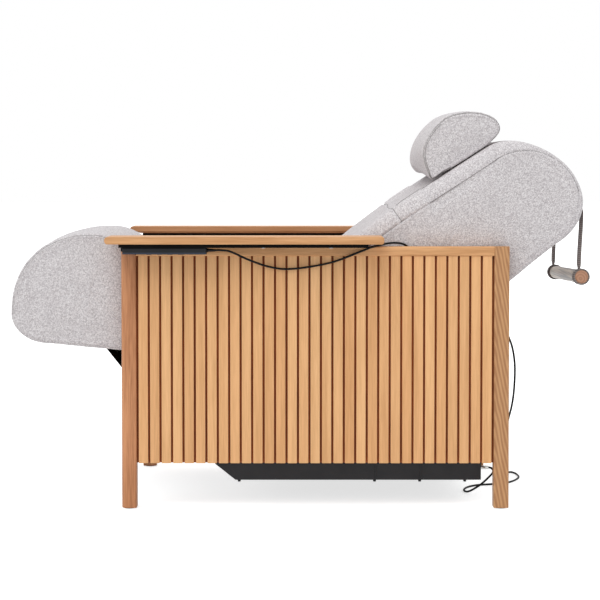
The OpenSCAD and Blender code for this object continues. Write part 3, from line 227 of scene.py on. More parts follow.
def legrest_outline():
    """The leg rest's side view: underside, notch at the shaft, tail, knee slope and foot end."""
    far, high, middle, foot_at, tail_r = 0.204, 0.243, 0.056, 0.302, 0.017
    tail = leg_at(-0.045, 0.035)
    slope = bend(tail + Vector((0, tail_r)), leg_at(far * 0.21, high * 0.44),
                 leg_at(far * 0.46, high * 1.012), leg_at(far, high), 40)
    upper = [leg_at(far, middle) + p for p in rounded_quarter(0.184, 0.187, 2.15, 90)]
    foot = [leg_at(foot_at, middle) + p for p in rounded_quarter(0.086, 0.069, 1.95, 180)]
    return ([leg_at(foot_at, -0.013), leg_at(0.171, -0.0255), leg_at(0.040, -0.038),
             leg_at(0.0367, 0), leg_at(0.020, 0.018)]
            + arc(tail, tail_r, -90, 90, 12) + slope + upper[1:] + foot[1:-1])


def pillow_centre():
    """Where the pillow's widest line crosses its highest, in the side view."""
    return back_at(0.541, BACK_FRONT + 0.0029 + PILLOW_BASE)


def pillow_uv(p):
    """How far a side-view point lies up the slope and out from the pillow's centre."""
    return turned(Vector(p) - pillow_centre(), -BACK_SLOPE)


def pillow_outline():
    """The pillow's D-shaped side view, its flat base first."""
    up, down, face = 0.098, 0.105, 0.072
    quarters = ((up, PILLOW_BASE, 3.4, 270), (up, face, 1.6, 0),
                (down, face, 1.77, 90), (down, PILLOW_BASE, 3.4, 180))
    return [p for quarter in quarters for p in on_slope(pillow_centre(), *quarter)[:-1]]


def seat_outline():
    """The seat cushion's side view."""
    return ([Vector((-0.222, 0.3523)), Vector((-0.052, 0.3523))]
            + arc((-0.072, 0.426), 0.020, 0, 90, 8) + arc((-0.212, 0.436), 0.010, 90, 180, 6))


# Meshes
def new_object(name, verts, faces, material, smooth=True):
    """Make a mesh object with one material."""
    mesh = bpy.data.meshes.new(name)
    mesh.from_pydata([tuple(v) for v in verts], [], faces)
    mesh.validate()
    mesh.polygons.foreach_set("use_smooth", [smooth] * len(mesh.polygons))
    mesh.materials.append(material)
    made = bpy.data.objects.new(name, mesh)
    bpy.context.scene.collection.objects.link(made)
    return made


def skin(rows, closed_rows=True, caps=True):
    """Faces over rows of equal length, and the centre points of both ends."""
    n = len(rows[0])
    verts = [p for row in rows for p in row]
    faces = []
    for j in range(len(rows) - 1):
        for i in range(n if closed_rows else n - 1):
            k = (i + 1) % n
            faces.append((j * n + i, j * n + k, (j + 1) * n + k, (j + 1) * n + i))
    if caps:
        for row, start, turn_back in ((rows[0], 0, True), (rows[-1], (len(rows) - 1) * n, False)):
            centre = sum(row, Vector((0, 0, 0))) / n
            verts.append(centre)
            for i in range(n):
                a, b = start + i, start + (i + 1) % n
                faces.append((len(verts) - 1, b, a) if turn_back else (len(verts) - 1, a, b))
    return verts, faces


class SoftForm:
    """A cushion swept across the chair: crowned middle, rounded long edges and domed sewn sides."""

    # How far each closing ring of a side has gone to its centre
    CAP_SHARES = (0.985, 0.9, 0.78, 0.64, 0.5, 0.36, 0.22, 0.12, 0.05)
    # Widths and heights of the cloth's wide and small unevenness, of its seams and of their puckers
    WIDE_W, WIDE_H = 0.085, 0.8 * MM
    SMALL_W, SMALL_H = 0.030, 0.2 * MM
    SEAM_W = SEAM_H = 1.5 * MM
    SWELL_AT, SWELL_W, SWELL_H = 6 * MM, 4 * MM, 0.7 * MM
    PUCKER_W, PUCKER_H = 0.011, 0.55 * MM

    def __init__(self, outline, count, half, edge, centre, bulge, seam, lift=lambda p: 0.0,
                 inset=lambda p: 1.0):
        self.pts = evenly(outline, count)
        self.normals, self.run = [outward(self.pts, i) for i in range(count)], [0.0]
        for a, b in zip(self.pts, self.pts[1:]):
            self.run.append(self.run[-1] + (b - a).length)
        self.half, self.centre, self.bulge = half, Vector(centre), bulge
        self.edge = [edge(p) if callable(edge) else edge for p in self.pts]
        self.seam = [self.seam_run(i, seam(p)) for i, p in enumerate(self.pts)]
        self.lift = [lift(p) for p in self.pts]
        self.inset = [inset(p) for p in self.pts]

    def seam_run(self, i, inset):
        """Length over the edge's round to where the outline is inset so far."""
        edge = self.edge[i]
        if inset < edge:
            return edge * acos(1 - inset / edge)
        return edge * pi / 2 + inset - edge

    def detail(self, i, y, rho, side):
        """How far the cloth stands proud of the plain form."""
        p, off = self.pts[i], rho - self.seam[i]
        spot = Vector((p[0], y, p[1]))
        soft = noise.noise(spot / self.WIDE_W) * self.WIDE_H
        soft += noise.noise(spot / self.SMALL_W + Vector((7, 0, 0))) * self.SMALL_H
        groove = -self.SEAM_H * bell(off, self.SEAM_W)
        swell = self.SWELL_H * bell(abs(off) - self.SWELL_AT, self.SWELL_W)
        pucker = noise.noise(Vector((self.run[i] / self.PUCKER_W, side * 3.1, rho / 0.05)))
        return soft + groove + swell + pucker * self.PUCKER_H * exp(-abs(off) / self.PUCKER_W)

    def rim_ray(self, i, lift=0.0):
        """Where the rounded edge ends, and the way from there to the side's centre."""
        rim = self.pts[i] + self.normals[i] * (lift - self.edge[i] * self.inset[i])
        return rim, self.centre - rim

    def ray_share(self, i, ray, rho):
        """How much of its ray the cloth has covered at rho."""
        slant = max(0.5, abs(self.normals[i].dot(ray.normalized())))
        return min(0.6, (rho - self.edge[i] * pi / 2) / (ray.length * slant))

    def place(self, i, y, rho, side, t=None):
        """Point of the surface: rho is the length from where the side's edge starts to round."""
        p, n, edge = self.pts[i], self.normals[i], self.edge[i]
        push = self.detail(i, y, rho, side)
        lift = self.lift[i] * (1 - (y / self.half) ** 2)
        if rho <= 0:
            flat = p + n * (lift + push)
            return Vector((flat[0], y, flat[1]))
        if rho < edge * pi / 2 and t is None:
            a = rho / edge
            flat = p + n * (lift + push * cos(a) - edge * (1 - cos(a)) * self.inset[i])
            out = self.half - edge + edge * sin(a) + push * sin(a)
            return Vector((flat[0], side * out, flat[1]))
        rim, ray = self.rim_ray(i, lift)
        if t is None:
            t = self.ray_share(i, ray, rho)
        flat = rim + ray * t
        out = self.half + self.bulge * sin(min(1.0, t * 1.25) * pi / 2) + push
        return Vector((flat[0], side * out, flat[1]))

    def across(self, i, y):
        """Point of the surface at y, between the rounded edges."""
        return self.place(i, y, abs(y) - self.half + self.edge[i], 1 if y > 0 else -1)

    def over(self, i, rho, side):
        """Point of the surface at rho, before or after the edge starts to round."""
        return self.place(i, side * (self.half - self.edge[i] + min(rho, 0.0)), rho, side)

    def rows(self, step, rho_max, mid_step):
        """Rings of points from one side's middle to the other side's."""
        spots = range(len(self.pts))
        widest = max(self.edge)
        flanks = int((rho_max + widest * 0.3) / step)
        mids = int(2 * (self.half - widest) / mid_step)

        def flank(side, k):
            firsts = [self.edge[i] - widest for i in spots]
            return [self.over(i, first + (rho_max - first) * k / flanks, side)
                    for i, first in enumerate(firsts)]

        def cap(side):
            starts = [max(0.0, self.ray_share(i, self.rim_ray(i)[1], rho_max)) for i in spots]
            return [[self.place(i, side * self.half, rho_max + 0.02, side, t + (1 - t) * share)
                     for i, t in enumerate(starts)] for share in self.CAP_SHARES]

        made = cap(-1) + [flank(-1, k) for k in range(flanks, 0, -1)]
        for k in range(mids + 1):
            y = (self.half - widest) * (2 * k / mids - 1)
            made.append([self.across(i, y) for i in spots])
        return made + [flank(1, k) for k in range(1, flanks + 1)] + list(reversed(cap(1)))

    def seam_line(self, side, shift, wanted):
        """Places of the surface along the seam, where wanted holds."""
        return [self.place(i, side * self.half, self.seam[i] + shift, side)
                for i in range(len(self.pts)) if wanted(self.pts[i])]


def circle(centre, a, b, radius, count):
    """Points of a circle in the plane of two unit vectors."""
    turns = [tau * k / count for k in range(count)]
    return [centre + (a * cos(w) + b * sin(w)) * radius for w in turns]


def tangent(line, i):
    """Direction of a line at one of its points."""
    return (line[min(i + 1, len(line) - 1)] - line[max(i - 1, 0)]).normalized()


def surface(name, rows, slot, body, replaced=(), fill=None, finish=None, **shape):
    """A mesh over rows of points, with its material, riding on its body in place of the parts it replaces."""
    made = new_object(name, *skin(rows, **shape), finish_for(finish or slot))
    return seat_piece(made, body, replaced)


def sew_stitches(name, line, body):
    """A row of thread stitches, tapered at both ends, along a line of places on the cloth."""
    length, radius, sides = 4.2 * MM, 0.42 * MM, 5
    verts, faces = [], []
    pts = evenly(line, max(3, len(line) * 4), closed=False)
    run, start = 0.0, None
    for a, b in zip(pts, pts[1:]):
        run += (b - a).length
        if start is None:
            start, run = a, (b - a).length
        if run >= length:
            axis = (b - start).normalized()
            side = axis.orthogonal().normalized()
            more, quads = skin([circle(start.lerp(b, share), side, axis.cross(side), radius * width, sides)
                                for share, width in ((0, 0.35), (0.2, 1), (0.8, 1), (1, 0.35))], caps=False)
            ends = [tuple(reversed(range(sides))), tuple(range(len(more) - sides, len(more)))]
            faces += [tuple(len(verts) + k for k in face) for face in quads + ends]
            verts += more
            start, run = None, 0.0
    return seat_piece(new_object(name, verts, faces, finish_for("thread")), body)


def draw_seam_shade(name, line, body, radius=0.8):
    """A seam's dark line, painted shade: a thin dark cord laid in along the cloth where the seam's shadow
    falls, its radius in mm.
    """
    rows, a = [], None
    for i, p in enumerate(line):
        t = tangent(line, i)
        a = (t.orthogonal() if a is None else a - t * a.dot(t)).normalized()
        rows.append(circle(p, a, t.cross(a), radius * MM, 6))
    return surface(name, rows, "upholstery", body, finish="seam_thread")


def swept(line, section):
    """Rows of a section, given as pairs across and outward, moved along a line."""
    side, rows = Vector((0, 1, 0)), []
    for i, p in enumerate(line):
        out = side.cross(tangent(line, i)).normalized()
        shape = section(i / (len(line) - 1)) if callable(section) else section
        rows.append([p + side * a + out * b for a, b in shape])
    return rows


def band_section(width, thickness):
    """A flat band's cross-section with soft edges."""
    w, t = width / 2, thickness / 2
    r = t * 0.8
    half = [(w - r, -t), (w, -t + r), (w, t - r), (w - r, t)]
    return [(-w + r, -t), *half, (-w + r, t), (-w, t - r), (-w, -t + r)]


def lathe(profile, centre, axis):
    """Rows of a turned shape: profile holds pairs of place along the axis and radius."""
    axis = axis.normalized()
    u = axis.orthogonal().normalized()
    w = axis.cross(u)
    return [circle(centre + axis * along, u, w, radius, 48) for along, radius in profile]


# Materials
def add(tree, kind, values=None, links=None, **settings):
    """Add one shader node: settings are its properties, values its inputs' numbers, links their sources."""
    made = tree.nodes.new("ShaderNode" + kind)
    for key, value in settings.items():
        setattr(made, key, value)
    for key, value in (values or {}).items():
        made.inputs[key.replace("_", " ") if isinstance(key, str) else key].default_value = value
    for key, source in (links or {}).items():
        tree.links.new(source, made.inputs[key])
    return made


def calc(tree, operation, *parts):
    """The result of one maths node over numbers and sockets."""
    numbers = {k: part for k, part in enumerate(parts) if isinstance(part, (int, float))}
    sockets = {k: part for k, part in enumerate(parts) if k not in numbers}
    return add(tree, "Math", numbers, sockets, operation=operation).outputs[0]


class Finish:
    """One material while it is built, laid out by the piece's own coordinates."""

    def __init__(self, name, **shader_values):
        self.material = bpy.data.materials.new(name)
        self.material.use_nodes = True
        self.tree = self.material.node_tree
        self.shader = self.tree.nodes["Principled BSDF"]
        for key, value in shader_values.items():
            self.shader.inputs[key.replace("_", " ")].default_value = value
        self.place = add(self.tree, "TexCoord").outputs["Object"]

    def pattern(self, kind, place=None, settings=None, **values):
        """A texture or mapping node at the piece's coordinates, or at a mapped place."""
        return add(self.tree, kind, values, {"Vector": self.place if place is None else place},
                   **(settings or {}))

    def mapped(self, **values):
        """The piece's coordinates stretched, turned or shifted."""
        return self.pattern("Mapping", **values).outputs["Vector"]

    def noise(self, width, place=None, **values):
        """Noise, its scale given as a width in mm."""
        return self.pattern("TexNoise", place, Scale=1 / (width * MM), **values).outputs["Fac"]

    def waves(self, width, place=None, settings=None, **values):
        """Bands or rings, their scale given as a width in mm."""
        return self.pattern("TexWave", place, settings, Scale=1 / (width * MM),
                            **values).outputs["Fac"]

    def ranged(self, value, **limits):
        """A value mapped from and to limits."""
        return add(self.tree, "MapRange", limits, {"Value": value}).outputs["Result"]

    def mix(self, a, b, factor):
        """From tone a at 0 to tone b at 1."""
        return add(self.tree, "Mix", {"A": linear(a), "B": linear(b)}, {"Factor": factor},
                   data_type="RGBA").outputs["Result"]

    def times(self, a, b):
        """Two colours multiplied."""
        return add(self.tree, "Mix", {"Factor": 1.0}, {"A": a, "B": b},
                   data_type="RGBA", blend_type="MULTIPLY").outputs["Result"]

    def done(self, tint, height, strength, depth):
        """The material with its colour, raised by a height pattern as deep as so many mm."""
        bump = add(self.tree, "Bump", {"Strength": strength, "Distance": depth * MM},
                   {"Height": height})
        self.tree.links.new(bump.outputs["Normal"], self.shader.inputs["Normal"])
        self.tree.links.new(tint, self.shader.inputs["Base Color"])
        return self.material


def slat_tones(wood):
    """A colour that differs a little from slat to slat, since each is cut from another board."""
    low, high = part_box("left_slats")
    pitch = (high[0] - low[0] + SLAT_GAP) / SLATS
    x = add(wood.tree, "SeparateXYZ", links={"Vector": wood.place}).outputs["X"]
    index = calc(wood.tree, "DIVIDE", calc(wood.tree, "SUBTRACT", x, low[0] - 0.0025), pitch)
    chance = add(wood.tree, "TexWhiteNoise", links={"W": calc(wood.tree, "FLOOR", index)},
                 noise_dimensions="1D")
    return wood.times(wood.mix("f3eeea", "ffffff", chance.outputs["Value"]),
                      wood.mix("fff8f2", "ffffff", chance.outputs["Color"]))


def oak(name, light, dark, grain, roughness=0.5, figure=None):
    """Oak, planed and clear lacquered: pale streaks along the grain and fine darker pores."""
    wood = Finish(name, Roughness=roughness, Specular_IOR_Level=0.35)
    along = wood.mapped(Scale=[0.045 if axis == grain else 1.0 for axis in range(3)])
    # Growth streaks about 7 mm apart, and pores drawn 2.5 mm wide so that they show
    broad = wood.noise(14, along, Detail=3.0, Roughness=0.6)
    pores = wood.noise(2.5, along, Detail=2.0, Roughness=0.5)
    most = 0.66
    streak = calc(wood.tree, "MULTIPLY_ADD", pores, 0.35, calc(wood.tree, "MULTIPLY", broad, 0.65))
    if figure == "cathedral":
        # Steep lines of a flat-sawn face, about 7.5 mm apart
        arch = wood.mapped(Scale=(1.0, 1.0, 0.16), Rotation=(0, 0.12, 0))
        rings = wood.waves(12, arch, {"wave_type": "BANDS", "bands_direction": "DIAGONAL"},
                           Distortion=2.2, Detail=1.0, Detail_Scale=0.9)
        most = 0.95
        streak = calc(wood.tree, "MULTIPLY_ADD", rings, 0.45, streak)
    tint = wood.mix(light, dark, wood.ranged(streak, From_Min=0.38, From_Max=most))
    if figure == "slats":
        tint = wood.times(tint, slat_tones(wood))
    return wood.done(tint, pores, 0.25, 0.25)


def melange_weave(name, light, dark, speck=1.9):
    """Polyester melange, woven from pale and grey yarns: soft, matte and finely speckled."""
    cloth = Finish(name, Roughness=0.95, Specular_IOR_Level=0.2, Sheen_Weight=0.12)
    # The specks are as wide as they look in the photograph, in mm
    specks = cloth.pattern("TexVoronoi", Scale=1 / (speck * MM)).outputs["Color"]
    tint = cloth.mix(dark, light, cloth.ranged(specks, From_Min=0.1, From_Max=0.9))
    return cloth.done(tint, cloth.noise(1.4, Detail=1.0), 0.5, 0.4)


def webbing(name, light, dark):
    """Polyester webbing, woven in ribs across its length."""
    cloth = Finish(name, Roughness=0.8, Specular_IOR_Level=0.3, Sheen_Weight=0.1)
    ribs = cloth.waves(2.4 * tau, settings={"bands_direction": "Z"}, Distortion=0.4)
    warp = cloth.waves(3.0 * tau, settings={"bands_direction": "Y"}, Distortion=0.6)
    weave = calc(cloth.tree, "MULTIPLY", ribs, warp)
    return cloth.done(cloth.mix(dark, light, weave), weave, 0.6, 0.4)


def grained(name, base, worn, roughness, grit, depth, specular=0.5):
    """A moulded, coated or felted surface: one tone that drifts a little, with a fine grain."""
    coat = Finish(name, Roughness=roughness, Specular_IOR_Level=specular)
    drift = coat.noise(60, Detail=4.0)
    gloss = coat.ranged(drift, To_Min=roughness - 0.05, To_Max=roughness + 0.07)
    coat.tree.links.new(gloss, coat.shader.inputs["Roughness"])
    tint = coat.mix(base, worn, coat.ranged(drift, From_Min=0.35, From_Max=0.7))
    return coat.done(tint, coat.noise(grit, Detail=2.0), 0.4, depth)


def drawn_metal(name, base, dark, roughness, axis):
    """Bare metal, drawn or ground along one axis: fine scratches that run with it."""
    metal = Finish(name, Roughness=roughness, Metallic=1.0)
    along = metal.mapped(Scale=[0.03 if k == axis else 1.0 for k in range(3)])
    scratches = metal.noise(0.9, along, Detail=3.0)
    return metal.done(metal.mix(base, dark, scratches), scratches, 0.15, 0.1)


def striped_satin(name, grey, beige):
    """Satin ribbon cloth wound on the bar: grey and beige stripes along its length, softly shining."""
    cloth = Finish(name, Roughness=0.42, Specular_IOR_Level=0.5, Sheen_Weight=0.2)
    stripes = cloth.noise(6.5, cloth.mapped(Scale=(1.0, 0.02, 1.0)), Detail=1.0)
    return cloth.done(cloth.mix(grey, beige, cloth.ranged(stripes, From_Min=0.4, From_Max=0.6)),
                      stripes, 0.3, 0.3)


def end_grain(name, light, dark):
    """End grain of a reddish hardwood, sanded: fine rings round the heart."""
    wood = Finish(name, Roughness=0.6)
    heart = wood.mapped(Location=(-0.66, 0, -0.531), Scale=(1, 0.02, 1))
    rings = wood.waves(3.2 * tau, heart, {"wave_type": "RINGS", "rings_direction": "Y"},
                       Distortion=2.0, Detail=2.0)
    return wood.done(wood.mix(light, dark, rings), rings, 0.2, 0.15)


# Each slot's maker, the material's name, its two tones and the maker's own numbers
FINISHES = {
    "oak": (oak, "Oak lacquered", "oak_light", "oak_dark", X_AXIS),
    "slats": (oak, "Oak slats lacquered", "f2bf8a", "daa773", Z_AXIS, 0.5, "slats"),
    # The far armrest's oak in darker tones: painted shade
    "oak_painted_shade": (oak, "Oak board browner", "cc9468", "b27c50", X_AXIS),
    "oak_darker": (oak, "Oak post lacquered", "d39468", "985f3b", Z_AXIS),
    "rear_post": (oak, "Oak post flat sawn", "cf9f70", "a87750", Z_AXIS, 0.5, "cathedral"),
    # The board behind the slats, in darker tones than the oak: painted shade in the gaps between the slats
    "groove_wood": (oak, "Oak veneer stained", "ae6132", "854420", Z_AXIS, 0.6),
    "plywood": (oak, "Birch plywood raw", "d6b98c", "c3a172", X_AXIS, 0.75),
    "upholstery": (melange_weave, "Polyester melange upholstery", "cloth_light", "cloth_dark"),
    "keeper_cloth": (melange_weave, "Polyester melange keeper", "d2cfcf", "a9a5a5", 2.2),
    "webbing": (webbing, "Polyester webbing taupe", "b4aaa7", "776d6b"),
    # The loops round the bar: the same webbing in darker tones, painted shade
    "webbing_loop_shade": (webbing, "Polyester webbing taupe folded", "a39a95", "655c5a"),
    "bar_satin": (striped_satin, "Satin wound on bar", "6d605b", "cdbaa4"),
    "bar_end_wood": (end_grain, "Beech end grain sanded", "b98b70", "a2745a"),
    "bright_steel": (drawn_metal, "Steel ground", "b6b8ba", "8d9093", 0.32, Y_AXIS),
    "zinc_steel": (drawn_metal, "Steel zinc plated", "b6b8ba", "8d9093", 0.32, Y_AXIS),
    "actuator_aluminium": (drawn_metal, "Aluminium extruded matte", "b0b2b5", "8a8d90", 0.42, X_AXIS),
    "nickel": (drawn_metal, "Brass nickel plated", "d2d2d0", "b5b5b2", 0.18, X_AXIS),
    # Powder coat is baked on and shows a faint orange peel
    "black_steel": (grained, "Steel powder coated black", "28272a", "201f22", 0.45, 1.6, 0.12, 0.28),
    "armrest_steel": (grained, "Steel powder coated matte", "0b0909", "060505", 0.7, 1.2, 0.1, 0.08),
    # Moulded ABS has an eroded grain
    "black_plastic": (grained, "ABS moulded black", "141519", "0d0e11", 0.5, 0.8, 0.1, 0.25),
    "slate_plastic": (grained, "ABS moulded slate", "262d3c", "1f2531", 0.36, 0.8, 0.06, 0.35),
    "nylon": (grained, "Nylon moulded natural", "e4ded0", "d3cbbb", 0.45, 1.0, 0.05),
    "button_rubber": (grained, "Silicone rubber keys", "3d4049", "33363e", 0.6, 0.9, 0.05),
    "cord_rubber": (grained, "PVC cord black", "0d0c0e", "080809", 0.5, 1.0, 0.04, 0.18),
    "felt": (grained, "Wool felt pressed", "5a554f", "474340", 0.95, 1.5, 0.4),
    "circuit_green": (grained, "Circuit board lacquered", "1d5c38", "174a2d", 0.3, 2.0, 0.05),
    "dust_cloth": (grained, "Polypropylene dust cloth", "0e0d0f", "080809", 0.9, 2.2, 0.4, 0.1),
    "thread": (grained, "Polyester sewing thread", "b5b0af", "a49f9e", 0.8, 0.6, 0.1),
    # Dark cords laid in the seams: painted shade for the seams' shadow lines
    "seam_thread": (grained, "Polyester seam thread grey", "7b7776", "6c6867", 0.85, 0.6, 0.1),
}
MATERIALS = {}


def finish_for(slot):
    """The material of a slot, made once: a tone is one of the panel's or a hex colour."""
    if slot not in MATERIALS:
        maker, name, first, second, *numbers = FINISHES[slot]
        tones = bpy.context.scene.chair_tones
        MATERIALS[slot] = maker(name, getattr(tones, first, first), getattr(tones, second, second), *numbers)
    return MATERIALS[slot]


def dress(*names, finish=None, bevel=0.0):
    """Give CAD nodes their material, and soften their machined edges with a bevel in mm."""
    for name in names:
        obj = NODES[name]
        material = finish_for(finish or SLOTS[name])
        for slot in obj.material_slots:
            slot.material = material
        if bevel:
            weld = obj.modifiers.new("Weld", "WELD")
            weld.merge_threshold = 0.01 * MM
            soft = obj.modifiers.new("Softened edges", "BEVEL")
            soft.width, soft.segments, soft.limit_method = bevel * MM, 2, "ANGLE"
            soft.angle_limit = radians(40)
            soft.use_clamp_overlap = True


def seat_piece(obj, body, replaced=()):
    """Hide the CAD parts that a made piece stands for, and attach it to the body it rides on."""
    if replaced:
        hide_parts(*replaced)
    if body:
        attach(obj, body)
    return obj


def tone(name, what, colour):
    """A setting that holds an sRGB hex colour."""
    return bpy.props.StringProperty(name=name, description="sRGB hex colour of " + what, default=colour)


def measure(name, about, value, least, most):
    """A setting that holds a length."""
    return bpy.props.FloatProperty(name=name, description=about, default=value, min=least, max=most,
                                   unit="LENGTH")


class ChairTones(bpy.types.PropertyGroup):
    oak_light: tone("Oak, light streaks", "the pale grain", "e1ab78")
    oak_dark: tone("Oak, dark streaks", "the darker grain", "b78050")
    cloth_light: tone("Cloth, pale yarn", "the melange's pale yarn", "eae6e7")
    cloth_dark: tone("Cloth, grey yarn", "the melange's grey yarn", "ada6a9")


class ChairSizes(bpy.types.PropertyGroup):
    cord_diameter: measure("Cord diameter", "Outside diameter of the controller's cord", 0.005, 0.003, 0.008)
    recess: measure("Recess", "Depth of the backrest's middle between its bolsters", 0.005, 0.004, 0.025)
    side_bulge: measure("Side bulge", "How far a cushion's side swells at its middle", 0.004, 0.0, 0.010)
    camera_distance: measure("Camera distance", "From the chair's middle to the camera", 4.678, 2.0, 9.0)


def seen_directly(tree):
    """1 for what the camera or a mirror sees, 0 for light on its way to a piece."""
    path = add(tree, "LightPath")
    return calc(tree, "MAXIMUM", path.outputs["Is Camera Ray"], path.outputs["Is Glossy Ray"])


def emptied(owner):
    """The node tree of a material or world, with nothing in it."""
    owner.use_nodes = True
    owner.node_tree.nodes.clear()
    return owner.node_tree


class CHAIR_OT_stage(bpy.types.Operator):
    """Camera at the photograph's angle, pale floor and soft studio light"""
    bl_idname = "chair.stage"
    bl_label = "Stage"

    def execute(self, context):
        scene = context.scene
        scene.view_settings.view_transform = "Standard"
        data = bpy.data.cameras.new("Camera")
        data.sensor_width, data.lens = 36.0, LENS
        data.shift_x, data.shift_y = LENS_SHIFT
        camera = bpy.data.objects.new("Camera", data)
        camera.location = (0.0, -scene.chair_sizes.camera_distance, CAMERA_HEIGHT)
        camera.rotation_euler = (radians(90 - CAMERA_DOWN), 0.0, 0.0)
        scene.collection.objects.link(camera)
        scene.camera = camera

        floor_mat = bpy.data.materials.new("Paper floor")
        tree = emptied(floor_mat)
        paper = add(tree, "BsdfDiffuse", {"Color": (0.86, 0.86, 0.86, 1)})
        lift = calc(tree, "MULTIPLY", seen_directly(tree), 0.70)
        glow = add(tree, "Emission", links={"Strength": lift})
        both = add(tree, "AddShader", links={0: paper.outputs[0], 1: glow.outputs[0]})
        add(tree, "OutputMaterial", links={"Surface": both.outputs[0]})
        ends = (-30.0, 30.0)
        rows = [[Vector((x, y, -0.0005)) for y in ends] for x in ends]
        floor = new_object("Floor", *skin(rows, closed_rows=False, caps=False), floor_mat, smooth=False)

        scene.world = bpy.data.worlds.new("Studio")
        tree = emptied(scene.world)
        room = add(tree, "Background", {"Color": (0.98, 0.99, 1.0, 1), "Strength": 0.62})
        white = add(tree, "Background", {"Color": (1, 1, 1, 1), "Strength": 1.0})
        pick = add(tree, "MixShader", links={0: seen_directly(tree), 1: room.outputs[0],
                                                       2: white.outputs[0]})
        add(tree, "OutputWorld", links={"Surface": pick.outputs[0]})

        # One broad lamp over the chair's front left and a weaker one from behind
        for name, power, angle, aim in (("Key", 1.5, 50, (0.75, 0.95, -1.9)),
                                        ("Fill", 0.35, 60, (-0.8, -0.6, -1.2))):
            lamp = bpy.data.lights.new(name, "SUN")
            lamp.energy, lamp.angle = power, radians(angle)
            lamp.color = (0.985, 1.0, 0.985)
            obj = bpy.data.objects.new(name, lamp)
            obj.rotation_mode = "QUATERNION"
            obj.rotation_quaternion = Vector(aim).to_track_quat("-Z", "Y")
            scene.collection.objects.link(obj)
        return {"FINISHED"}


# The cord's way in millimetres, the same points as in the construction
CORD_KNOTS = [
    (-195, -354, 603.5), (-182, -354, 603.5), (-160, -351, 600), (-118, -335, 580), (-70, -325.5, 563.5),
    (-20, -325, 559), (67, -325, 573), (138, -326, 599), (161, -325.5, 608.5), (182, -317, 613.4),
    (202, -308, 617.3), (223, -296, 618), (240, -286.3, 614.5), (252, -281.6, 607), (265, -281.3, 598),
    (283, -281, 585), (350, -281, 527), (463, -281, 429), (489, -281, 391), (500, -281, 345),
    (501, -280, 295), (496, -276, 240), (484, -245, 172), (483, -160, 92), (494, -50, 36),
    (508, 50, 9), (521, 120, 2.5), (533, 168, 2.5), (546, 180, 2.5), (556, 148, 2.5),
    (554, 92, 2.5), (524, 29, 2.5), (479, 0, 2.5), (440, -14, 2.5), (412, -45, 2.5),
    (400, -88, 2.5), (409, -118, 5), (434, -139, 24), (457, -147.5, 47), (465, -149.5, 59),
    (461, -150, 67), (453, -150, 69)]


def cord_line(steps):
    """Smooth line through the knots, never under the floor."""
    knots = [Vector(k) * MM for k in CORD_KNOTS]
    radius = bpy.context.scene.chair_sizes.cord_diameter / 2
    line = []
    for i in range(len(knots) - 1):
        a, b = knots[max(0, i - 1)], knots[i]
        c, d = knots[i + 1], knots[min(len(knots) - 1, i + 2)]
        for k in range(steps):
            t = k / steps
            p = 0.5 * (2 * b + (c - a) * t + (2 * a - 5 * b + 4 * c - d) * t ** 2
                       + (3 * b - a - 3 * c + d) * t ** 3)
            p[2] = max(p[2], radius)
            line.append(p)
    return line + [knots[-1]]


class CHAIR_OT_cord(bpy.types.Operator):
    """The hand controller's black cord, from its boot round the chair to the pan"""
    bl_idname = "chair.cord"
    bl_label = "Controller cord"

    def execute(self, context):
        diameter = context.scene.chair_sizes.cord_diameter
        line = cord_line(6)
        curve = bpy.data.curves.new("controller_flex", "CURVE")
        curve.dimensions = "3D"
        curve.bevel_depth, curve.bevel_resolution, curve.use_fill_caps = diameter / 2, 3, True
        spline = curve.splines.new("POLY")
        spline.points.add(len(line) - 1)
        for point, place in zip(spline.points, line):
            point.co = (*place, 1.0)
        spline.use_smooth = True
        flex = bpy.data.objects.new("controller_flex", curve)
        context.scene.collection.objects.link(flex)
        curve.materials.append(finish_for("cord_rubber"))
        seat_piece(flex, "frame", ["controller_cord"])
        dress("controller_boot", bevel=0.5)
        dress("controller_plug", bevel=0.6)
        return {"FINISHED"}


class CHAIR_OT_woodwork(bpy.types.Operator):
    """Oak posts, rails, slats, boards and armrests with their screws and glides"""
    bl_idname = "chair.woodwork"
    bl_label = "Woodwork"

    def execute(self, context):
        dress("left_front_post", "right_front_post", bevel=1.2)
        dress("left_rear_post", "right_rear_post", finish="rear_post", bevel=1.2)
        dress("left_top_rail", "right_top_rail", bevel=1.0)
        dress("left_armrest", bevel=4.0)
        # The far armrest's darker oak is painted shade
        dress("right_armrest", finish="oak_painted_shade", bevel=4.0)
        dress("left_slats", "right_slats", finish="slats", bevel=0.8)
        dress("left_panel_board", "right_panel_board")
        dress("floor_glides", bevel=0.5)
        dress("armrest_plates", bevel=0.8)
        dress("armrest_screws", bevel=0.6)
        return {"FINISHED"}


class CHAIR_OT_metalwork(bpy.types.Operator):
    """Chassis, brackets, shafts, arms, lugs and the two actuators"""
    bl_idname = "chair.metalwork"
    bl_label = "Metalwork"

    def execute(self, context):
        dress("chassis_rails", "cross_tubes", "chassis_brackets", "backrest_arms", "legrest_arms",
              "recline_lug", "legrest_lug", bevel=0.8)
        dress("pivot_bushes", "recline_shaft", "legrest_shaft", "leg_actuator_rod", "back_actuator_rod",
              bevel=0.5)
        dress("leg_actuator", "back_actuator", bevel=1.5)
        return {"FINISHED"}


class CHAIR_OT_base(bpy.types.Operator):
    """Base pan, clips, electrics and boards under the cushions"""
    bl_idname = "chair.base"
    bl_label = "Base"

    def execute(self, context):
        dress("base_pan", "pan_clips", "control_box", "mains_inlet", "controller_socket", bevel=0.8)
        dress("seat_board", "backrest_board", "legrest_board", bevel=0.8)
        dust_cloth()
        return {"FINISHED"}


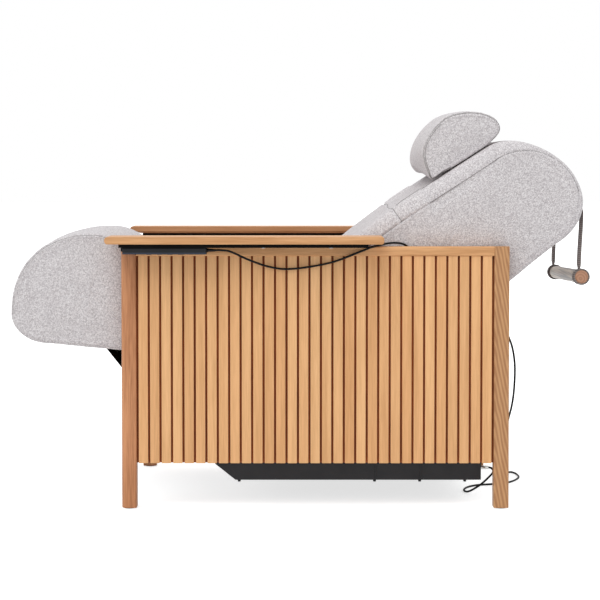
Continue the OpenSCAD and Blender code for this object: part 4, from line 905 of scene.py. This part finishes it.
def dust_cloth():
    """Black cloth from the pan's front to the leg rest's underside, slack with shallow folds."""
    low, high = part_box("dust_cloth")
    half = high[1] - 0.001
    start, end = Vector((high[0] - 0.0014, low[2] + 0.001)), Vector((low[0] + 0.006, high[2] - 0.0016))
    along = end - start
    out = Vector((-along[1], along[0])).normalized()

    def cloth_row(t):
        bow = sin(pi * t)
        row = []
        for i in range(61):
            y = -half + 2 * half * i / 60
            fold = 0.0016 * bow * noise.noise(Vector((y / 0.07, t * 1.2, 3)))
            row += at_y([start + along * t + out * (bow * 0.009 + fold)], y)
        return row

    cloth = new_object("dust_cloth_sheet", *skin([cloth_row(j / 40) for j in range(41)], closed_rows=False,
                                                 caps=False), finish_for("dust_cloth"))
    seat_piece(cloth, None, ["dust_cloth"])
    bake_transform(cloth)


class CHAIR_OT_controller(bpy.types.Operator):
    """Hand controller in its cradle under the left armrest, with four keys"""
    bl_idname = "chair.controller"
    bl_label = "Hand controller"

    def execute(self, context):
        dress("controller_cradle", bevel=1.0)
        dress("controller_case", "controller_face", bevel=2.2)
        dress("controller_circuit")
        dress("button_back_up", "button_back_down", "button_legs_up", "button_legs_down", bevel=0.5)
        return {"FINISHED"}


class CHAIR_OT_legrest(bpy.types.Operator):
    """Leg rest cushion: a round foot end, a sewn edge and a sloping knee side"""
    bl_idname = "chair.legrest"
    bl_label = "Leg rest"

    def execute(self, context):
        axis_x, axis_z = LEG_AXIS
        form = SoftForm(legrest_outline(), 340, CUSHION_HALF, 0.007, leg_at(0.204, 0.109),
                        context.scene.chair_sizes.side_bulge, lambda p: 0.0035,
                        lambda p: CROWN * ramp(p[1], axis_z + 0.052, axis_z + 0.121),
                        lambda p: 0.45 if p[0] > axis_x - 0.060 else 1.0)
        surface("legrest_cushion_cover", form.rows(1.6 * MM, 0.036, 0.012), "upholstery", "legrest",
                ["legrest_cushion"], 0.9)

        def above(p):
            return p[1] > axis_z + 0.05

        for side, tag in SIDES:
            # A dark cord of painted shade in each seam, and the stitches beside it
            draw_seam_shade(f"legrest_seam_{tag}", form.seam_line(side, 0.0, above), "legrest")
            sew_stitches(f"legrest_stitches_{tag}", form.seam_line(side, 4 * MM, above), "legrest")
        return {"FINISHED"}


class CHAIR_OT_seat(bpy.types.Operator):
    """Seat cushion between the leg rest and the backrest"""
    bl_idname = "chair.seat"
    bl_label = "Seat"

    def execute(self, context):
        form = SoftForm(seat_outline(), 160, CUSHION_HALF, 0.012, (-0.137, 0.399), 0.002,
                        lambda p: 0.010, lambda p: CROWN * ramp(p[1], 0.40, 0.446), lambda p: 0.5)
        surface("seat_cushion_cover", form.rows(1.8 * MM, 0.034, 0.012), "upholstery", "frame",
                ["seat_cushion"], 0.8)
        return {"FINISHED"}


def seam_wave(y):
    """How far the lumbar's cross seam strays from straight, nothing at its ends."""
    return 0.004 * sin(y / 0.06) * (1 - ramp(abs(y), 0.14, 0.22))


class BackrestForm(SoftForm):
    """The backrest, with its middle sunk between two bolsters above the lumbar's cross seam."""

    # Places across the chair: where the sunk middle ends, the bolster rises and its channel lies
    MIDDLE_END = (0.208, 0.226)
    BOLSTER_RISE = (0.212, 0.240)
    CREASE_AT, CREASE_W, CREASE_H = 0.222, 2.4 * MM, 2.2 * MM

    def detail(self, i, y, rho, side):
        made = super().detail(i, y, rho, side)
        height = self.pts[i][1]
        u, v = back_uv(self.pts[i])
        across = abs(y)
        if u > BACK_LEN - SEAM_DROP * 0.7:
            # The webbing presses the padding in by its own thickness, and its tails swing against it
            band = 1 - ramp(abs(across - STRAP_AT), STRAP_W / 2, STRAP_W / 2 + 0.006)
            low = 0.0 if v > 0 else 1 - ramp(height, 0.695, 0.715)
            band *= 1.0 if v > 0 else ramp(height, 0.60, 0.64)
            made += (-STRAP_T * 1.15 - 2.5 * MM * low - made) * band
        if v < BACK_FRONT * 0.5:
            return made
        off = u - SEAM_U - seam_wave(y)
        above = ramp(off, 0.0, 0.022) * (1 - ramp(u, BACK_LEN - 0.03, BACK_LEN + 0.06))
        made -= bpy.context.scene.chair_sizes.recess * (1 - ramp(across, *self.MIDDLE_END)) * above
        if rho < self.seam[i]:
            # Bolster, cross seam with the fullness below it, channel beside the bolster, and puckers
            bolster = ramp(across, *self.BOLSTER_RISE) * ramp(off, 0.004, 0.03)
            made += 1.5 * MM * bolster * (1 - ramp(u, BACK_LEN - 0.05, BACK_LEN + 0.04))
            made -= 2.6 * MM * bell(off, 2.6 * MM)
            made += 1.0 * MM * bell(off + 9 * MM, 6 * MM)
            made -= self.CREASE_H * bell(across - self.CREASE_AT, self.CREASE_W) * above
            tuck = noise.noise(Vector((y / 0.012, off / 0.04, 5.0)))
            made += tuck * 0.9 * MM * exp(-abs(off) / 0.014)
        return made

    def face_index(self, u):
        """Which point of the outline's face lies nearest to u up the backrest."""
        face = [i for i, p in enumerate(self.pts) if back_uv(p)[1] > 0]
        return min(face, key=lambda i: abs(back_uv(self.pts[i])[0] - u))


def back_seam_inset(p):
    """How far the side seam lies in from the outline: 37 mm under the face, less over the round top."""
    u, v = back_uv(p)
    if v > 0:
        return 0.037 + (0.006 - 0.037) * ramp(u, BACK_LEN + 0.01, BACK_LEN + 0.125)
    return 0.006 + 0.006 * ramp(-v, 0.03, 0.12)


def back_edge(p):
    """How large the backrest's long edge is rounded: fullest under the face, least behind."""
    u, v = back_uv(p)
    if v > 0:
        return 0.034 + (0.016 - 0.034) * ramp(u, BACK_LEN - 0.02, BACK_LEN + 0.115)
    return 0.016 - 0.004 * ramp(-v, 0.03, 0.12)


class CHAIR_OT_backrest(bpy.types.Operator):
    """Backrest cushion: teardrop sides, a side seam, a sunken middle and a lumbar seam"""
    bl_idname = "chair.backrest"
    bl_label = "Backrest"

    def execute(self, context):
        form = BackrestForm(backrest_outline(), 480, CUSHION_HALF, back_edge,
                            back_at(BACK_LEN * 0.62, 0), context.scene.chair_sizes.side_bulge,
                            back_seam_inset)
        surface("backrest_cushion_cover", form.rows(1.8 * MM, 0.072, 0.0045), "upholstery", "backrest",
                ["backrest_cushion"], 0.9)
        low = form.face_index(SEAM_U)
        reach = form.seam[low] - WELT_AT + CUSHION_HALF - form.edge[low]
        for side, tag in SIDES:
            line = form.seam_line(side, 0.0, lambda p: back_uv(p)[1] > -0.06 and p[1] > 0.45)
            # The side seam's shadow line, painted as a dark cord
            draw_seam_shade(f"backrest_seam_{tag}", line, "backrest")
            if side < 0:
                # A dark cord along the near bolster's crown: painted shade for the shadow line where the
                # bolster hides the sunk middle
                top = [i for i, p in enumerate(form.pts) if back_uv(p)[1] > 0
                       and SEAM_U + 0.012 < back_uv(p)[0] < BACK_LEN - 0.02]
                draw_seam_shade("backrest_channel_left", [form.across(i, -CHANNEL_SHADE_AT) for i in top],
                         "backrest", 1.0)
            # The cross seam's end on the edge: a dark cord of painted shade, and stitches along it
            line = [form.over(low, form.seam[low] - reach * k / 24, side) for k in range(25)]
            draw_seam_shade(f"backrest_cross_seam_{tag}", line, "backrest")
            sew_stitches(f"backrest_stitches_{tag}", line, "backrest")
        # The cross seam's middle, drawn in along its slight waves as a dark cord of painted shade
        places = [WELT_AT * (k / 60 - 1) for k in range(121)]
        line = [form.across(form.face_index(SEAM_U + seam_wave(y)), y) for y in places]
        for _ in range(40):
            line = [line[0]] + [(a + b * 2 + c) / 4 for a, b, c in zip(line, line[1:], line[2:])] + [line[-1]]
        draw_seam_shade("backrest_cross_seam_middle", line, "backrest", 0.9)
        return {"FINISHED"}


class PillowForm(SoftForm):
    """The pillow, with a raised welt between two rows of stitches round each side."""

    # The near lower corner's sinking: how deep, from where, over what length, and down to where
    SUNK, SUNK_FROM, SUNK_OVER, SUNK_FLOOR = 0.0215, 0.060, 0.045, 0.031

    def detail(self, i, y, rho, side):
        made = super().detail(i, y, rho, side)
        return made - 1.2 * MM * bell(rho - self.seam[i] - WELT_W, 1.2 * MM)

    def place(self, i, y, rho, side, t=None):
        made = super().place(i, y, rho, side, t)
        along, rise = pillow_uv((made[0], made[2]))
        # The near end has sunk onto the backrest, so that its lower corner is fuller there
        sunk = self.SUNK * (max(0.0, -along - self.SUNK_FROM) / self.SUNK_OVER) ** 2.5
        sunk *= 1 - ramp(rise, 0.005, 0.045)
        sunk = min(sunk, max(0.0, self.SUNK_FLOOR + rise)) * ramp(-made[1], -0.10, PILLOW_HALF)
        return at_y([pillow_centre() + turned((along, rise - sunk), BACK_SLOPE)], made[1])[0]


class CHAIR_OT_pillow(bpy.types.Operator):
    """Head pillow: D-shaped, with a flat base and a double seam round its sides"""
    bl_idname = "chair.pillow"
    bl_label = "Pillow"

    def execute(self, context):
        form = PillowForm(pillow_outline(), 300, PILLOW_HALF, 0.006,
                          pillow_centre() + turned((0, 0.025), BACK_SLOPE),
                          context.scene.chair_sizes.side_bulge, lambda p: 0.0022,
                          lambda p: CROWN * ramp(pillow_uv(p)[1], -0.01, 0.01),
                          lambda p: 0.35 + 0.65 * ramp(pillow_uv(p)[1], -0.006, 0.006))
        surface("pillow_cover", form.rows(1.5 * MM, 0.048, 0.010), "upholstery", "pillow", ["pillow"], 0.95)
        for side, tag in SIDES:
            # Two dark cords of painted shade, one in each seam beside the welt
            for shift, row, end in ((0.0, "a", 1.0), (WELT_W, "b", -0.015)):
                line = form.seam_line(side, shift, lambda p: pillow_uv(p)[1] > -0.034
                                      and pillow_uv(p)[0] < end)
                draw_seam_shade(f"pillow_seam_{tag}_{row}", line, "pillow", 1.0)
            for shift, row in ((-2.0 * MM, "a"), (WELT_W + 2.5 * MM, "b")):
                line = form.seam_line(side, shift, lambda p: pillow_uv(p)[1] > -0.012)
                sew_stitches(f"pillow_stitches_{tag}_{row}", line, "pillow")
        return {"FINISHED"}


def crest_line(low_u, end_z, lift):
    """Side view of the backrest from low on its face over the top to a height behind it."""
    pts, made = evenly(backrest_outline(), 1500), []
    for i, p in enumerate(pts):
        u, v = back_uv(p)
        if (v > 0 and u > low_u) or (v <= 0 and u > BACK_LEN and p[1] > end_z):
            made.append(p + outward(pts, i) * lift)
    return list(reversed(made))


def keeper_section(t):
    """A keeper's section: a sewn-down strip with a folded nub at both ends."""
    nub = bell(t - 0.06, 0.055) + bell(t - 0.94, 0.055)
    return [(a, b + (0.0022 * nub if b > 0 else 0))
            for a, b in band_section(STRAP_W + 0.006 + 0.002 * nub, 0.0014)]


def twisted_band(share):
    """The tail's section: the webbing hangs turned a little, but lies flat at both its ends."""
    turn = radians(11.5) * ramp(share, 0.0, 0.1) * (1 - ramp(share, 0.92, 1.0))
    return [tuple(turned(p, turn)) for p in band_section(STRAP_W, STRAP_T)]


class CHAIR_OT_straps(bpy.types.Operator):
    """Webbing straps over the backrest, their sewn keepers and the hanging tails"""
    bl_idname = "chair.straps"
    bl_label = "Straps"

    def execute(self, context):
        tail_low, tail_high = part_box("strap_tails")
        x, top = (tail_low[0] + tail_high[0]) / 2, tail_high[2]
        strap_way = evenly(crest_line(0.463, 0.7011, -0.0008), 90, closed=False)
        behind = [p for p in crest_line(0.5, 0.7035, 0.0012) if p[0] > 0.655 and p[1] < 0.7395]
        keeper_way = evenly(behind, 40, closed=False)
        for side, tag in SIDES:
            y = side * STRAP_AT
            surface(f"pillow_strap_{tag}", swept(at_y(strap_way, y), band_section(STRAP_W, STRAP_T)),
                    "webbing", "backrest", ["pillow_straps"] if side < 0 else ())
            surface(f"strap_keeper_{tag}", swept(at_y(keeper_way, y), keeper_section),
                    "keeper_cloth", "backrest", ["strap_keepers"] if side < 0 else ())
            # Tail: from under the keeper down to the loop on the bar
            bottom = BAR_Z - y * tan(BAR_TILT) + BAR_R + STRAP_T * 0.6
            line = [Vector((x - 0.005 * ramp(k / 30, 0.1, 0.95), y, top + (bottom - top) * k / 30))
                    for k in range(31)]
            tail = surface(f"strap_tail_{tag}", swept(line, twisted_band), "webbing", None,
                           ["strap_tails"] if side < 0 else ())
            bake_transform(tail)
        return {"FINISHED"}


class CHAIR_OT_counterweight(bpy.types.Operator):
    """Counterweight bar: satin-covered, wooden ends, held in two webbing loops"""
    bl_idname = "chair.counterweight"
    bl_label = "Counterweight"

    def execute(self, context):
        low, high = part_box("counterweight_core")
        centre = Vector(((low[0] + high[0]) / 2, 0, BAR_Z))
        axis = Vector((0, -cos(BAR_TILT), sin(BAR_TILT)))
        half, cap, w = BAR_LEN / 2, 0.008, STRAP_W / 2
        shares = [k / 20 for k in range(-20, 21)]
        body = [(-half + cap, BAR_R - 0.0012), (-half + cap + 0.001, BAR_R)]
        body += [(s * (half - 0.012), BAR_R + 0.0002 * cos(s * 9)) for s in shares]
        body += [(half - cap - 0.001, BAR_R), (half - cap, BAR_R - 0.0012)]
        surface("counterweight_cover", lathe(body, centre, axis), "bar_satin", "counterweight",
                ["counterweight_bar"])
        inner, outer = half - cap + 0.0002, half
        shape = [(inner, BAR_R - 0.003), (inner + 0.0006, BAR_R - 0.0004), (inner + 0.002, BAR_R),
                 (outer - 0.0022, BAR_R), (outer - 0.0008, BAR_R - 0.0009), (outer, BAR_R - 0.003),
                 (outer, BAR_R * 0.5)]
        for s, tag in ((1, "left"), (-1, "right")):
            surface(f"counterweight_end_{tag}", lathe([(s * a, r) for a, r in shape], centre, axis),
                    "bar_end_wood", "counterweight", ["counterweight_caps"] if s > 0 else ())
            # Loop: the webbing goes once round the bar and is sewn to the tail, in darker tones of painted
            # shade
            mid, rim = s * STRAP_AT, BAR_R + STRAP_T * 1.7
            ring = [(mid - w, BAR_R + 0.0001), (mid - w, BAR_R + 0.0024), (mid - w + 0.001, rim),
                    (mid + w - 0.001, rim), (mid + w, BAR_R + 0.0024), (mid + w, BAR_R + 0.0001)]
            surface(f"strap_loop_{tag}", lathe(ring, centre, axis), "webbing", "counterweight",
                    ["strap_loops"] if s > 0 else (), finish="webbing_loop_shade", caps=False)
        dress("counterweight_core")
        return {"FINISHED"}


OPERATORS = (CHAIR_OT_stage, CHAIR_OT_cord, CHAIR_OT_woodwork, CHAIR_OT_metalwork, CHAIR_OT_legrest,
             CHAIR_OT_base, CHAIR_OT_controller, CHAIR_OT_seat, CHAIR_OT_backrest, CHAIR_OT_pillow,
             CHAIR_OT_straps, CHAIR_OT_counterweight)


class CHAIR_PT_panel(bpy.types.Panel):
    """Lists the chair's pieces in the sidebar"""
    bl_idname = "CHAIR_PT_panel"
    bl_label = "Reflexology Chair"
    bl_space_type = "VIEW_3D"
    bl_region_type = "UI"
    bl_category = "Chair"

    def draw(self, context):
        for settings in (context.scene.chair_tones, context.scene.chair_sizes):
            for key in settings.__annotations__:
                self.layout.prop(settings, key)
        for operator in OPERATORS:
            self.layout.operator(operator.bl_idname)


CLASSES = (ChairTones, ChairSizes, *OPERATORS, CHAIR_PT_panel)


def register():
    for cls in CLASSES:
        bpy.utils.register_class(cls)
    bpy.types.Scene.chair_tones = bpy.props.PointerProperty(type=ChairTones)
    bpy.types.Scene.chair_sizes = bpy.props.PointerProperty(type=ChairSizes)


def unregister():
    del bpy.types.Scene.chair_sizes
    del bpy.types.Scene.chair_tones
    for cls in reversed(CLASSES):
        bpy.utils.unregister_class(cls)


def main():
    register()
    for operator in OPERATORS:
        group, name = operator.bl_idname.split(".")
        getattr(getattr(bpy.ops, group), name)()


if __name__ == "__main__":
    main()
